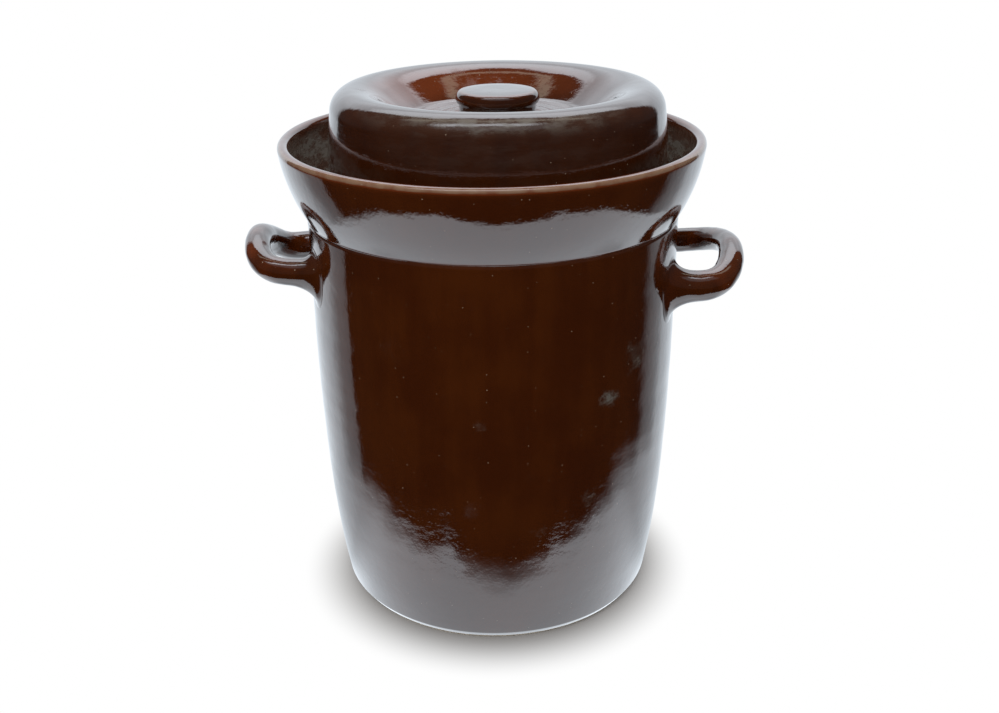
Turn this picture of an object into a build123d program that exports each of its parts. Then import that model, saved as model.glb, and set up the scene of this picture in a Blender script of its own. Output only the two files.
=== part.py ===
"""Water seal pickle jar: a glazed stoneware crock whose lid stands in a water channel.

Millimetres, +Z up, +X towards the right-hand ear, -Y towards the front.
The origin is on the floor, on the axis of the crock.
"""
from build123d import *
import math
import os

# Crock: outside
shoulder_radius = 126.65      # crease under the collar
shoulder_height = 278.4
heel_inset = 12.45            # how much narrower the heel is than the shoulder
heel_height = 5.7
side_power = 3.7              # how quickly the side fills out above the heel
side_shares = (0.0, 0.06, 0.14, 0.26, 0.45, 0.7, 1.0)
foot_inset = 4.0              # small chamfer from the heel down to the foot
foot_ring_width = 16.0        # the bare ring that it stands on
foot_recess_depth = 2.5       # the underside is trimmed hollow inside the ring

# Crock: inside
wall_thickness = 10.5
floor_thickness = 11.0
floor_corner_radius = 8.0
shoulder_bend_radius = 15.0   # the wall turns in under the channel

# Collar: the flared outer wall of the channel
rim_flare = 15.95             # the rim's radius, beyond the crease
rim_rise = 50.0               # the rim's height, above the crease
collar_thickness = 7.3
collar_curve_radius = 117.0

# Water channel and neck
channel_floor_rise = 6.6      # channel floor above the crease
channel_floor_thickness = 8.0
channel_width = 25.0          # from the collar in to the neck, at the channel floor
neck_thickness = 7.0
neck_height = 32.0            # above the channel floor
neck_root_radius = 4.0
mouth_edge_radius = 5.0

# Lid
lid_clearance = 6.5           # between its rim and the collar when it stands in the middle
lid_offset = 4.0              # it stands this far to the right, loose in its channel
lid_height = 76.3             # from the channel floor to its highest ring
lid_thickness = 8.0
lid_wall_curve_radius = 515.0
lid_shoulder_bend = 15.0      # from the wall over to the highest ring
lid_crest_inset = 19.5        # the highest ring, from the rim in
dish_crest_bend = 28.0        # from the highest ring down on to the dish's straight slope
dish_slope_angle = 42.0       # of that slope, in degrees from level
dish_floor_bend = 5.0         # from the slope on to the flat floor
dish_depth = 21.0
lid_rim_edge_radius = 2.5
gas_notch_radius = 3.5        # notches that let gas out under the water
gas_notch_count = 4
gas_notch_angle = 45.0

# Knob in the dish
knob_height = 17.7
knob_radius = 27.9
knob_radius_height = 11.6
knob_waist_inset = 2.3        # waist and top edge, from the widest place in
knob_waist_height = 7.4
knob_top_inset = 3.4
knob_dome = 0.6               # the top is slightly domed
knob_waist_slope_shares = (0.35, 1.0)
knob_edge_slope_shares = (-1.0, 0.3)

# Ears: a roll of clay on each side, bent through five places and pressed on to the wall
ear_half_span = 42.6          # from its middle to each end
ear_oval_share = 1.03         # the roll is a little taller than wide
ear_flare_out = 3.0           # spread of the ends on the wall, away from the finger gap
ear_root_depth = 20.0         # the ends start this far inside the wall's face
ear_section_shares = (0.0, 0.012, 0.03, 0.06, 0.1, 0.15, 0.21, 0.28, 0.36, 0.43, 0.5)

right_ear_drop = 43.4         # its front end, below the crease
right_ear_reach = 45.4        # of the roll's centre, from the wall at its front end
right_ear_rise = 13.0         # of its outside above its front end
right_ear_front_roll_radius = 10.4
right_ear_middle_roll_radius = 8.0
right_ear_back_roll_radius = 8.6
right_ear_flare_length = 28.4
right_ear_flare_up = 11.1
right_ear_flare_down = 18.7
right_ear_flare_in = 8.8      # towards the finger gap
right_ear_out_shares = (0.0, 0.605, 1.0, 0.62, 0.0)
right_ear_along_shares = (-1.0, -1.0, -0.085, 0.87, 0.98)
right_ear_rise_shares = (0.0, 0.0, 1.0, 0.445, 0.24)
right_ear_end_shares = ((0.99, -0.15, -0.08), (-1.0, 0.02, -0.04))

left_ear_drop = 31.9
left_ear_reach = 42.6
left_ear_rise = 10.9
left_ear_front_roll_radius = 9.0
left_ear_middle_roll_radius = 8.7
left_ear_back_roll_radius = 10.2
left_ear_flare_length = 14.4
left_ear_flare_up = 6.1
left_ear_flare_down = 17.0
left_ear_flare_in = 9.1
left_ear_out_shares = (0.0, 0.7, 1.0, 0.69, 0.0)
left_ear_along_shares = (-1.0, -0.93, 0.025, 0.86, 0.98)
left_ear_rise_shares = (0.0, 0.21, 1.0, -0.61, -0.56)
left_ear_end_shares = ((1.0, -0.07, 0.0), (-0.99, 0.03, 0.14))

# Weight stones: two half discs that keep the food under its brine
stone_clearance = 7.8         # between their round edge and the wall
stone_thickness = 24.0
stone_gap = 5.0               # between their straight edges
stone_edge_radius = 4.0
stone_hole_radius = 11.0
stone_hole_distance = 41.0    # finger hole, from the crock's axis
stone_hole_edge_radius = 2.0

heel_radius = shoulder_radius - heel_inset
foot_radius = heel_radius - foot_inset
channel_floor_height = shoulder_height + channel_floor_rise
lid_crest_height = channel_floor_height + lid_height
dish_height = lid_crest_height - dish_depth


def circles_meet(centre_a, radius_a, centre_b, radius_b):
    """The left-hand one, seen from a to b, of the two points where the circles cross."""
    ax, az = centre_a
    bx, bz = centre_b
    gap = math.hypot(bx - ax, bz - az)
    along = (gap**2 + radius_a**2 - radius_b**2) / (2 * gap)
    beside = math.sqrt(radius_a**2 - along**2)
    ux, uz = (bx - ax) / gap, (bz - az) / gap
    return ax + along * ux - beside * uz, az + along * uz + beside * ux


def on_circle(centre, radius, degrees):
    """A point of the circle, at an angle from the outward direction."""
    angle = math.radians(degrees)
    return centre[0] + radius * math.cos(angle), centre[1] + radius * math.sin(angle)


def bearing(centre, point):
    """The angle in degrees at which a point is seen from a centre."""
    return math.degrees(math.atan2(point[1] - centre[1], point[0] - centre[0]))


def arc(centre, radius, start, end):
    """An arc of a circle between two angles in degrees."""
    middle = (start + end) / 2
    ends = [on_circle(centre, radius, angle) for angle in (start, middle, end)]
    return ThreePointArc(*ends)


def turned(*edges):
    """A solid turned about the crock's axis from a closed outline of (radius, height)."""
    outline = make_face(Curve() + list(edges))
    return revolve(Plane.XZ * outline, Axis.Z)


def side_radius(height):
    """Outside radius of the crock between its heel and its shoulder."""
    left = (shoulder_height - height) / (shoulder_height - heel_height)
    return shoulder_radius - heel_inset * max(left, 0.0) ** side_power


def side_curve(low, high, inset):
    """The crock's side between two heights, moved in by inset."""
    heights = [low + (high - low) * share for share in side_shares]
    return Spline(*[(side_radius(height) - inset, height) for height in heights])


def collar_arc_centre():
    """Centre of the collar's section, a curve from the crease that ends in the lip's round."""
    lip = collar_thickness / 2
    lip_centre = (shoulder_radius + rim_flare - lip, shoulder_height + rim_rise - lip)
    crease = (shoulder_radius, shoulder_height)
    return circles_meet(crease, collar_curve_radius, lip_centre, collar_curve_radius - lip), lip_centre


def make_seat_radius():
    """Radius of the step that the collar is set on: its inner face at the channel floor."""
    centre, _ = collar_arc_centre()
    inner = collar_curve_radius - collar_thickness
    return centre[0] + math.sqrt(inner**2 - (channel_floor_height - centre[1]) ** 2)


def make_dish_slope_width():
    """How far the dish's slope and its two bends reach in from the highest ring."""
    turn = math.radians(dish_slope_angle)
    both_bends = dish_crest_bend + dish_floor_bend
    straight = (dish_depth - both_bends * (1 - math.cos(turn))) / math.sin(turn)
    return both_bends * math.sin(turn) + straight * math.cos(turn)


seat_radius = make_seat_radius()
neck_radius = seat_radius - channel_width
mouth_radius = neck_radius - neck_thickness
lid_rim_radius = seat_radius - lid_clearance
lid_crest_radius = lid_rim_radius - lid_crest_inset
dish_radius = lid_crest_radius - make_dish_slope_width()


def make_crock_body():
    """The pot: foot, side, floor, the channel's floor and the neck inside it."""
    ring_inner = foot_radius - foot_ring_width
    recess_edge = ring_inner - foot_recess_depth
    neck_round = neck_thickness / 2
    neck_top = channel_floor_height + neck_height - neck_round
    underside = channel_floor_height - channel_floor_thickness
    bend_height = underside - shoulder_bend_radius
    bend_radius = side_radius(bend_height) - wall_thickness
    corner_height = floor_thickness + floor_corner_radius
    corner_radius = side_radius(corner_height) - wall_thickness
    neck_root = (neck_radius + neck_root_radius, channel_floor_height + neck_root_radius)
    mouth_edge = (mouth_radius + mouth_edge_radius, underside + mouth_edge_radius)
    bend = (bend_radius - shoulder_bend_radius, bend_height)
    corner = (corner_radius - floor_corner_radius, corner_height)
    return turned(
        Line((0, foot_recess_depth), (recess_edge, foot_recess_depth)),
        Line((recess_edge, foot_recess_depth), (ring_inner, 0)),
        Line((ring_inner, 0), (foot_radius, 0)),
        Line((foot_radius, 0), (heel_radius, heel_height)),
        side_curve(heel_height, shoulder_height, 0),
        Line((shoulder_radius, shoulder_height), (seat_radius, shoulder_height)),
        Line((seat_radius, shoulder_height), (seat_radius, channel_floor_height)),
        Line((seat_radius, channel_floor_height), (neck_root[0], channel_floor_height)),
        arc(neck_root, neck_root_radius, 270, 180),
        Line((neck_radius, neck_root[1]), (neck_radius, neck_top)),
        arc((mouth_radius + neck_round, neck_top), neck_round, 0, 180),
        Line((mouth_radius, neck_top), (mouth_radius, mouth_edge[1])),
        arc(mouth_edge, mouth_edge_radius, 180, 270),
        Line((mouth_edge[0], underside), (bend[0], underside)),
        arc(bend, shoulder_bend_radius, 90, 0),
        side_curve(corner_height, bend_height, wall_thickness),
        arc(corner, floor_corner_radius, 0, -90),
        Line((corner[0], floor_thickness), (0, floor_thickness)),
        Line((0, floor_thickness), (0, foot_recess_depth)),
    )


def make_channel_collar():
    """The flared ring that is set on the shoulder and holds the water."""
    centre, lip_centre = collar_arc_centre()
    lip_angle = bearing(centre, lip_centre)
    crease_angle = bearing(centre, (shoulder_radius, shoulder_height))
    seat_angle = bearing(centre, (seat_radius, channel_floor_height))
    inner = collar_curve_radius - collar_thickness
    return turned(
        Line((seat_radius, shoulder_height), (shoulder_radius, shoulder_height)),
        arc(centre, collar_curve_radius, crease_angle, lip_angle),
        arc(lip_centre, collar_thickness / 2, lip_angle, lip_angle + 180),
        arc(centre, inner, lip_angle, seat_angle),
        Line((seat_radius, channel_floor_height), (seat_radius, shoulder_height)),
    )


def make_lid_shell():
    """The lid: a drum-shaped cap of even thickness with a dished top and a notched rim."""
    shoulder = (lid_crest_radius, lid_crest_height - lid_shoulder_bend)
    rim = (lid_rim_radius, channel_floor_height)
    wall_centre = circles_meet(
        rim, lid_wall_curve_radius, shoulder, lid_wall_curve_radius - lid_shoulder_bend
    )
    wall_angle = bearing(wall_centre, shoulder)
    rim_angle = bearing(wall_centre, rim)
    wall_inner = lid_wall_curve_radius - lid_thickness
    inner_rim_angle = math.degrees(math.asin((channel_floor_height - wall_centre[1]) / wall_inner))
    inner_rim = on_circle(wall_centre, wall_inner, inner_rim_angle)
    crest = (lid_crest_radius, lid_crest_height - dish_crest_bend)
    dish = (dish_radius, dish_height + dish_floor_bend)
    crest_end, dish_end = 90 + dish_slope_angle, dish_slope_angle - 90
    slope_top = on_circle(crest, dish_crest_bend, crest_end)
    slope_foot = on_circle(dish, dish_floor_bend, dish_end)
    underside = dish_height - lid_thickness
    under_foot = on_circle(dish, dish_floor_bend + lid_thickness, dish_end)
    under_top = on_circle(crest, dish_crest_bend - lid_thickness, crest_end)
    outline = make_face(
        Curve() + [
            arc(wall_centre, lid_wall_curve_radius, rim_angle, wall_angle),
            arc(shoulder, lid_shoulder_bend, wall_angle, 90),
            arc(crest, dish_crest_bend, 90, crest_end),
            Line(slope_top, slope_foot),
            arc(dish, dish_floor_bend, dish_end, -90),
            Line((dish_radius, dish_height), (0, dish_height)),
            Line((0, dish_height), (0, underside)),
            Line((0, underside), (dish_radius, underside)),
            arc(dish, dish_floor_bend + lid_thickness, -90, dish_end),
            Line(under_foot, under_top),
            arc(crest, dish_crest_bend - lid_thickness, crest_end, 90),
            arc(shoulder, lid_shoulder_bend - lid_thickness, 90, wall_angle),
            arc(wall_centre, wall_inner, wall_angle, inner_rim_angle),
            Line(inner_rim, rim),
        ]
    )
    rim_corners = outline.vertices().group_by(Axis.Y)[0]
    lid = revolve(Plane.XZ * fillet(rim_corners, lid_rim_edge_radius), Axis.Z)
    middle = (lid_rim_radius + inner_rim[0]) / 2
    for index in range(gas_notch_count):
        turn_to_notch = Rot(0, 0, gas_notch_angle + index * 360 / gas_notch_count)
        across_rim = Pos(middle, 0, channel_floor_height) * Rot(0, 90, 0)
        lid -= turn_to_notch * across_rim * Cylinder(gas_notch_radius, 2 * lid_thickness)
    return Pos(lid_offset, 0, 0) * lid


def make_lid_knob():
    """The low knob in the middle of the dish: a straight waist under a rounded head."""
    knob_waist_radius = knob_radius - knob_waist_inset
    waist = (knob_waist_radius, dish_height + knob_waist_height)
    widest = (knob_radius, dish_height + knob_radius_height)
    top_edge = (knob_radius - knob_top_inset, dish_height + knob_height - knob_dome)
    top = (0, dish_height + knob_height)
    knob = turned(
        Line((0, dish_height), (knob_waist_radius, dish_height)),
        Line((knob_waist_radius, dish_height), waist),
        Spline(waist, widest, top_edge, tangents=(knob_waist_slope_shares, knob_edge_slope_shares)),
        TangentArc(top, top_edge, tangent=(1, 0)),
        Line(top, (0, dish_height)),
    )
    return Pos(lid_offset, 0, 0) * knob


def ear_line(drop, reach, rise, out_shares, along_shares, rise_shares, end_shares):
    """The centre line of the roll on the right-hand side, from its front end to its back end."""
    height = shoulder_height - drop
    root = math.sqrt(side_radius(height) ** 2 - ear_half_span**2)
    places = [
        (root + reach * out, ear_half_span * along, height + rise * up)
        for out, along, up in zip(out_shares, along_shares, rise_shares)
    ]
    return Spline(*places, tangents=end_shares, tangent_scalars=(1, 1))


def ear_sections(centre_line, rolls, flares):
    """The roll's oval sections along its line, flared at both ends."""
    front, middle, back = rolls
    flare_length, flare_up, flare_down, flare_in = flares
    shares = [*ear_section_shares, *[1 - share for share in reversed(ear_section_shares[:-1])]]
    sections = []
    for share in shares:
        along = centre_line % share
        level = along.cross(Vector(0, 0, 1)).normalized()
        upward = level.cross(along)
        from_end = centre_line.length * min(share, 1 - share)
        spread = max(1 - from_end / flare_length, 0.0) ** 2
        place = math.cos(math.pi * share)
        roll = middle + (front - back) / 2 * place + ((front + back) / 2 - middle) * place**2
        across = roll + (flare_in + ear_flare_out) / 2 * spread
        upright = ear_oval_share * roll + (flare_up + flare_down) / 2 * spread
        centre = (
            centre_line @ share
            + level * ((ear_flare_out - flare_in) / 2 * spread)
            + upward * ((flare_up - flare_down) / 2 * spread)
        )
        sections.append(Plane(origin=centre, x_dir=level, z_dir=along) * Ellipse(across, upright))
    return sections


def make_ear(centre_line, rolls, flares):
    """One ear on the right-hand side, its ends trimmed to the outside of the wall."""
    sections = ear_sections(centre_line, rolls, flares)
    roll = loft(sections)
    roll += extrude(sections[0], -ear_root_depth) + extrude(sections[-1], ear_root_depth)
    pot = turned(
        Line((0, heel_height), (heel_radius, heel_height)),
        side_curve(heel_height, shoulder_height, 0),
        Line((shoulder_radius, shoulder_height), (0, shoulder_height)),
        Line((0, shoulder_height), (0, heel_height)),
    )
    return roll - pot


def make_handle_right():
    """The right-hand ear, whose front end is the lower one."""
    centre_line = ear_line(
        right_ear_drop, right_ear_reach, right_ear_rise,
        right_ear_out_shares, right_ear_along_shares, right_ear_rise_shares, right_ear_end_shares,
    )
    rolls = (right_ear_front_roll_radius, right_ear_middle_roll_radius, right_ear_back_roll_radius)
    flares = (right_ear_flare_length, right_ear_flare_up, right_ear_flare_down, right_ear_flare_in)
    return make_ear(centre_line, rolls, flares)


def make_handle_left():
    """The left-hand ear, made on the right and mirrored; its back end is the lower one."""
    centre_line = ear_line(
        left_ear_drop, left_ear_reach, left_ear_rise,
        left_ear_out_shares, left_ear_along_shares, left_ear_rise_shares, left_ear_end_shares,
    )
    rolls = (left_ear_front_roll_radius, left_ear_middle_roll_radius, left_ear_back_roll_radius)
    flares = (left_ear_flare_length, left_ear_flare_up, left_ear_flare_down, left_ear_flare_in)
    return mirror(make_ear(centre_line, rolls, flares), Plane.YZ)


def make_weight_stone():
    """The right-hand half disc, rounded at its edges, with a hole for a finger."""
    wall_radius = side_radius(floor_thickness + floor_corner_radius) - wall_thickness
    stone_radius = wall_radius - stone_clearance
    disc = Circle(stone_radius) & Pos(stone_radius + stone_gap / 2, 0) * Rectangle(
        2 * stone_radius, 2 * stone_radius
    )
    stone = extrude(Pos(0, 0, floor_thickness) * disc, stone_thickness)
    corners = stone.edges().filter_by(Axis.Z)
    stone = fillet(corners, stone_edge_radius)
    top_and_bottom = stone.faces().filter_by(Axis.Z).edges()
    stone = fillet(top_and_bottom, stone_edge_radius)
    hole_height = floor_thickness + stone_thickness / 2
    stone -= Pos(stone_hole_distance, 0, hole_height) * Cylinder(stone_hole_radius, 2 * stone_thickness)
    hole_edges = stone.edges().filter_by(GeomType.CIRCLE).filter_by(
        lambda edge: math.isclose(edge.radius, stone_hole_radius)
    )
    return fillet(hole_edges, stone_hole_edge_radius)


right_stone = make_weight_stone()
nodes = {
    "crock_body": make_crock_body(),
    "channel_collar": make_channel_collar(),
    "handle_right": make_handle_right(),
    "handle_left": make_handle_left(),
    "lid_shell": make_lid_shell(),
    "lid_knob": make_lid_knob(),
    "weight_stone_right": right_stone,
    "weight_stone_left": mirror(right_stone, Plane.YZ),
}

os.makedirs("parts", exist_ok=True)
for name, shape in nodes.items():
    export_step(shape, f"parts/{name}.step")
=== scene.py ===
"""A water seal pickle jar in iron-glazed stoneware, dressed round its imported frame.

The file is laid out as an add-on: the sizes and colours are property groups, each piece
has an operator, and main() runs the operators in order. Lengths are in metres.
"""
import math

import bmesh
import bpy
import numpy as np
from bpy.props import FloatProperty, FloatVectorProperty, IntProperty, PointerProperty
from mathutils import Matrix, Vector, noise


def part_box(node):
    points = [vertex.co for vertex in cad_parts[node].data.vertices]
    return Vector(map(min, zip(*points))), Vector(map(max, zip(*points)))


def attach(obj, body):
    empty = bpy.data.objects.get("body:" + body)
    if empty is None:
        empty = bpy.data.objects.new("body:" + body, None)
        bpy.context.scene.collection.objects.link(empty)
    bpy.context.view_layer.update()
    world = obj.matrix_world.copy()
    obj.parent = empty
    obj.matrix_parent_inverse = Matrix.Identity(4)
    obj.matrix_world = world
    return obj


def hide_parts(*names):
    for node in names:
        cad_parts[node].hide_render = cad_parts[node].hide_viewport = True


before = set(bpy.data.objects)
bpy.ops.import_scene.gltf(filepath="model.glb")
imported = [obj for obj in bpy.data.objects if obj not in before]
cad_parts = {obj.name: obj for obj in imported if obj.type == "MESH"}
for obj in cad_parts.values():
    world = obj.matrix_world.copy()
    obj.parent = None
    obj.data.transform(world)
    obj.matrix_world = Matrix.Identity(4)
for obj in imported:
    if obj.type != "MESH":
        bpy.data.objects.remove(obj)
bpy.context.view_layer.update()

bl_info = {
    "name": "Water Seal Pickle Jar",
    "version": (1, 0, 0),
    "blender": (4, 5, 0),
    "location": "3D View > Sidebar > Pickle Jar",
    "description": "Builds a glazed stoneware fermenting crock with its lid, ears and weight stones",
    "category": "Object",
}

CROCK_LOW, CROCK_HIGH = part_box("crock_body")
COLLAR_LOW, COLLAR_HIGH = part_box("channel_collar")
LID_LOW, LID_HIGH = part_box("lid_shell")
KNOB_LOW, KNOB_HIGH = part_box("lid_knob")
STONE_LOW, STONE_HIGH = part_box("weight_stone_right")

SEGMENTS = 224                # steps round every turned piece
THIN_GLAZE = "thin_glaze"     # mesh attribute: 1 where the glaze has run thin
DULL_FILM = "dull_film"       # mesh attribute: 1 where dried water or dust dulls the glaze

# The potter's hand: depth and spacing of the throwing rings, depth and grain of the swell
POT_HAND = (0.00016, 0.011, 0.00035, 0.07)
COLLAR_HAND = (0.0001, 0.012, 0.0004, 0.055)
LID_HAND = (0.00013, 0.009, 0.0004, 0.05)
KNOB_HAND = (0.0, 0.009, 0.00022, 0.018)


def length(name, default, description):
    """A length that a user may change."""
    return FloatProperty(
        name=name, description=description, default=default, min=0.0, unit="LENGTH", precision=4
    )


def place(name, default, description):
    """A point in the frame that a user may move."""
    return FloatVectorProperty(
        name=name, description=description, size=3, default=default,
        subtype="XYZ", unit="LENGTH", precision=4,
    )


def colour(name, default, description):
    """A linear colour that a user may change."""
    return FloatVectorProperty(
        name=name, description=description, default=default, size=3, subtype="COLOR", min=0.0, max=1.0
    )


def share(name, default, description):
    """A plain number, such as a strength or a share."""
    return FloatProperty(name=name, description=description, default=default, min=0.0)


class CrockShape(bpy.types.PropertyGroup):
    """Sizes of the pot, from its foot to the neck inside the channel."""

    shoulder_radius: length("Shoulder radius", CROCK_HIGH.x, "Outside radius at the crease under the collar")
    shoulder_height: length("Shoulder height", COLLAR_LOW.z, "Height of the crease under the collar")
    foot_radius: length("Foot radius", 0.1102, "Outer edge of the ring that the pot stands on")
    foot_ring_width: length("Foot ring width", 0.016, "Width of that ring")
    foot_recess: length("Foot recess", 0.0025, "How deep the underside is trimmed")
    foot_edge: length("Foot edge", 0.0008, "Rounding of the foot's outer edge")
    heel_radius: length("Heel radius", 0.1142, "Where the foot's chamfer meets the side")
    heel_height: length("Heel height", 0.0057, "Height of that edge")
    side_power: share("Side fullness", 3.7, "How quickly the side fills out above the heel")
    wall: length("Wall", 0.0105, "Thickness of the side")
    floor: length("Floor", 0.011, "Thickness of the floor")
    floor_corner: length("Floor corner", 0.008, "Rounding inside, between floor and side")
    shoulder_bend: length("Shoulder bend", 0.015, "Rounding inside, where the wall turns in")
    channel_floor: length("Channel floor", LID_LOW.z, "Height of the floor of the water channel")
    channel_floor_thickness: length("Channel floor thickness", 0.008, "Thickness of that floor")
    mouth_radius: length("Mouth radius", 0.09, "Inside radius of the neck")
    mouth_edge: length("Mouth edge", 0.005, "Rounding under the mouth")
    neck: length("Neck thickness", 0.007, "Thickness of the neck")
    neck_top: length("Neck top", CROCK_HIGH.z, "Height of the neck's rounded top")
    neck_root: length("Neck root", 0.004, "Rounding between neck and channel floor")


class CollarShape(bpy.types.PropertyGroup):
    """Sizes of the flared ring that holds the water."""

    rim_radius: length("Rim radius", COLLAR_HIGH.x, "Outside radius of the lip")
    rim_height: length("Rim height", COLLAR_HIGH.z, "Height of the lip")
    thickness: length("Thickness", 0.0073, "Thickness of the collar")
    curve: length("Curve", 0.117, "Radius of the collar's section")
    crease: length("Crease", 0.0005, "Glaze that has run into the crease under the collar")


class LidShape(bpy.types.PropertyGroup):
    """Sizes of the lid."""

    offset: length("Offset", (LID_LOW.x + LID_HIGH.x) / 2, "How far to the right the lid stands")
    rim_radius: length("Rim radius", (LID_HIGH.x - LID_LOW.x) / 2, "Outside radius at the rim")
    rim_edge: length("Rim edge", 0.0025, "Rounding of the rim")
    wall_curve: length("Wall curve", 0.515, "Radius of the wall's slight bulge")
    crest_radius: length("Crest radius", 0.096, "Radius of the ring of highest points")
    crest_height: length("Crest height", LID_HIGH.z, "Height of that ring")
    shoulder_bend: length("Shoulder bend", 0.015, "Rounding from the wall over to the crest")
    dish_height: length("Dish height", KNOB_LOW.z, "Height of the dish's floor")
    crest_bend: length("Crest bend", 0.028, "Rounding from the crest down on to the dish's slope")
    slope: FloatProperty(
        name="Slope", description="How steep the dish's straight slope is",
        default=math.radians(42), subtype="ANGLE",
    )
    floor_bend: length("Floor bend", 0.005, "Rounding from the slope on to the dish's floor")
    ring_width: length("Ring width", 0.0092, "From one turning ring in the dish's floor to the next")
    ring_height: length("Ring height", 0.00035, "How high those rings stand")
    thickness: length("Thickness", 0.008, "Thickness of the lid")
    notch_radius: length("Gas notch radius", 0.0035, "Radius of the notches in the rim")
    notch_count: IntProperty(name="Gas notches", description="How many the rim has", default=4, min=1)
    notch_angle: FloatProperty(
        name="First notch", description="Where the first notch is", default=math.radians(45), subtype="ANGLE"
    )


class KnobShape(bpy.types.PropertyGroup):
    """Sizes of the knob in the dish."""

    height: length("Height", KNOB_HIGH.z - KNOB_LOW.z, "Height of the knob")
    waist_radius: length("Waist radius", 0.0256, "Radius at the dish's floor")
    waist_height: length("Waist height", 0.0074, "Height up to which the waist is straight")
    head_radius: length("Head radius", 0.0279, "Greatest radius")
    head_height: length("Head height", 0.0116, "Height of the greatest radius")
    top_radius: length("Top radius", 0.0245, "Radius of the slightly domed top")
    dome: length("Dome", 0.0006, "Rise of the top")
    foot_blend: length("Foot blend", 0.0022, "Glaze that has run in round the knob")


def four_sizes(name, default, description):
    """Lengths towards the top, the bottom, the finger gap and the outside of a roll."""
    return FloatVectorProperty(
        name=name, description=description, size=4, default=default, unit="LENGTH", precision=4
    )


class RightEarShape(bpy.types.PropertyGroup):
    """The right-hand ear: a bent roll of clay, given by five places of its centre."""

    front_end: place("Front end", (0.1192, -0.0426, 0.2350), "Centre of the roll at the wall, in front")
    front_leg: place("Front leg", (0.1467, -0.0426, 0.2350), "Centre of the roll in the front leg")
    outside: place("Outside", (0.1646, -0.0036, 0.2480), "Centre of the roll, farthest from the wall")
    back_leg: place("Back leg", (0.1474, 0.0371, 0.2408), "Centre of the roll in the back leg")
    back_end: place("Back end", (0.1195, 0.0417, 0.2381), "Centre of the roll at the wall, behind")
    front_roll: length("Front roll", 0.0104, "Radius of the roll at its front end")
    middle_roll: length("Middle roll", 0.0080, "Radius of the roll at its outside")
    back_roll: length("Back roll", 0.0086, "Radius of the roll at its back end")
    oval: share("Oval", 1.03, "How much taller than wide the roll is")
    front_blend: four_sizes("Front blend", (0.011, 0.014, 0.013, 0.010), "Spread on the wall in front")
    back_blend: four_sizes("Back blend", (0.007, 0.012, 0.010, 0.008), "Spread on the wall behind")
    front_run: four_sizes("Front run", (0.016, 0.020, 0.018, 0.011), "Where that spread starts on the roll")
    back_run: four_sizes("Back run", (0.008, 0.014, 0.012, 0.008), "Where that spread starts on the roll")


class LeftEarShape(bpy.types.PropertyGroup):
    """The left-hand ear: a bent roll of clay, given by five places of its centre."""

    front_end: place("Front end", (-0.1193, -0.0426, 0.2465), "Centre of the roll at the wall, in front")
    front_leg: place("Front leg", (-0.1491, -0.0396, 0.2488), "Centre of the roll in the front leg")
    outside: place("Outside", (-0.1619, 0.0011, 0.2574), "Centre of the roll, farthest from the wall")
    back_leg: place("Back leg", (-0.1487, 0.0366, 0.2399), "Centre of the roll in the back leg")
    back_end: place("Back end", (-0.1195, 0.0417, 0.2404), "Centre of the roll at the wall, behind")
    front_roll: length("Front roll", 0.0090, "Radius of the roll at its front end")
    middle_roll: length("Middle roll", 0.0087, "Radius of the roll at its outside")
    back_roll: length("Back roll", 0.0100, "Radius of the roll at its back end")
    oval: share("Oval", 1.03, "How much taller than wide the roll is")
    front_blend: four_sizes("Front blend", (0.008, 0.014, 0.011, 0.009), "Spread on the wall in front")
    back_blend: four_sizes("Back blend", (0.007, 0.013, 0.011, 0.008), "Spread on the wall behind")
    front_run: four_sizes("Front run", (0.009, 0.019, 0.014, 0.010), "Where that spread starts on the roll")
    back_run: four_sizes("Back run", (0.008, 0.015, 0.012, 0.008), "Where that spread starts on the roll")


class StoneShape(bpy.types.PropertyGroup):
    """Sizes of the two weight stones."""

    gap: length("Gap", STONE_LOW.x, "From the middle to each straight edge")
    edge: length("Edge", 0.004, "Rounding of the edges and corners")
    hole_radius: length("Hole radius", 0.011, "Radius of the finger hole")
    hole_distance: length("Hole distance", 0.041, "Finger hole, from the pot's axis")
    hole_edge: length("Hole edge", 0.002, "Rounding of the finger hole")


class GlazeLook(bpy.types.PropertyGroup):
    """Colours of the iron glaze and of the bare clay."""

    deep: colour("Deep glaze", (0.045, 0.0085, 0.0006), "Where the glaze lies thick")
    warm: colour("Warm glaze", (0.061, 0.0130, 0.0012), "Where it is a little thinner")
    thin: colour("Thin glaze", (0.115, 0.0225, 0.0045), "Over edges and rolls, where it has run off")
    # The edge colour is glaze worn thin on edges, and on the collar's lip it is in part a painted highlight.
    edge: colour("Glaze edge and painted highlight", (0.20, 0.115, 0.070), "On sharp edges, where hardly any glaze is left")
    # The film colour is dried water, dust and scuffs; on the lid's front shoulder and the knob's waist it is
    # also a painted haze of reflected light.
    film: colour("Film", (0.120, 0.103, 0.086), "Dried water in the channel, dust on the lid, scuffs")
    speck: colour("Specks", (0.34, 0.27, 0.20), "Fine pale specks in the glaze")
    clay: colour("Clay", (0.60, 0.50, 0.37), "Bare stoneware")
    clay_dark: colour("Dark clay", (0.40, 0.30, 0.20), "Grains in the bare stoneware")
    roughness: share("Glaze roughness", 0.055, "Roughness of the clean glaze")
    bare_height: length("Bare foot", 0.0019, "Height up to which the foot is bare")


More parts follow.
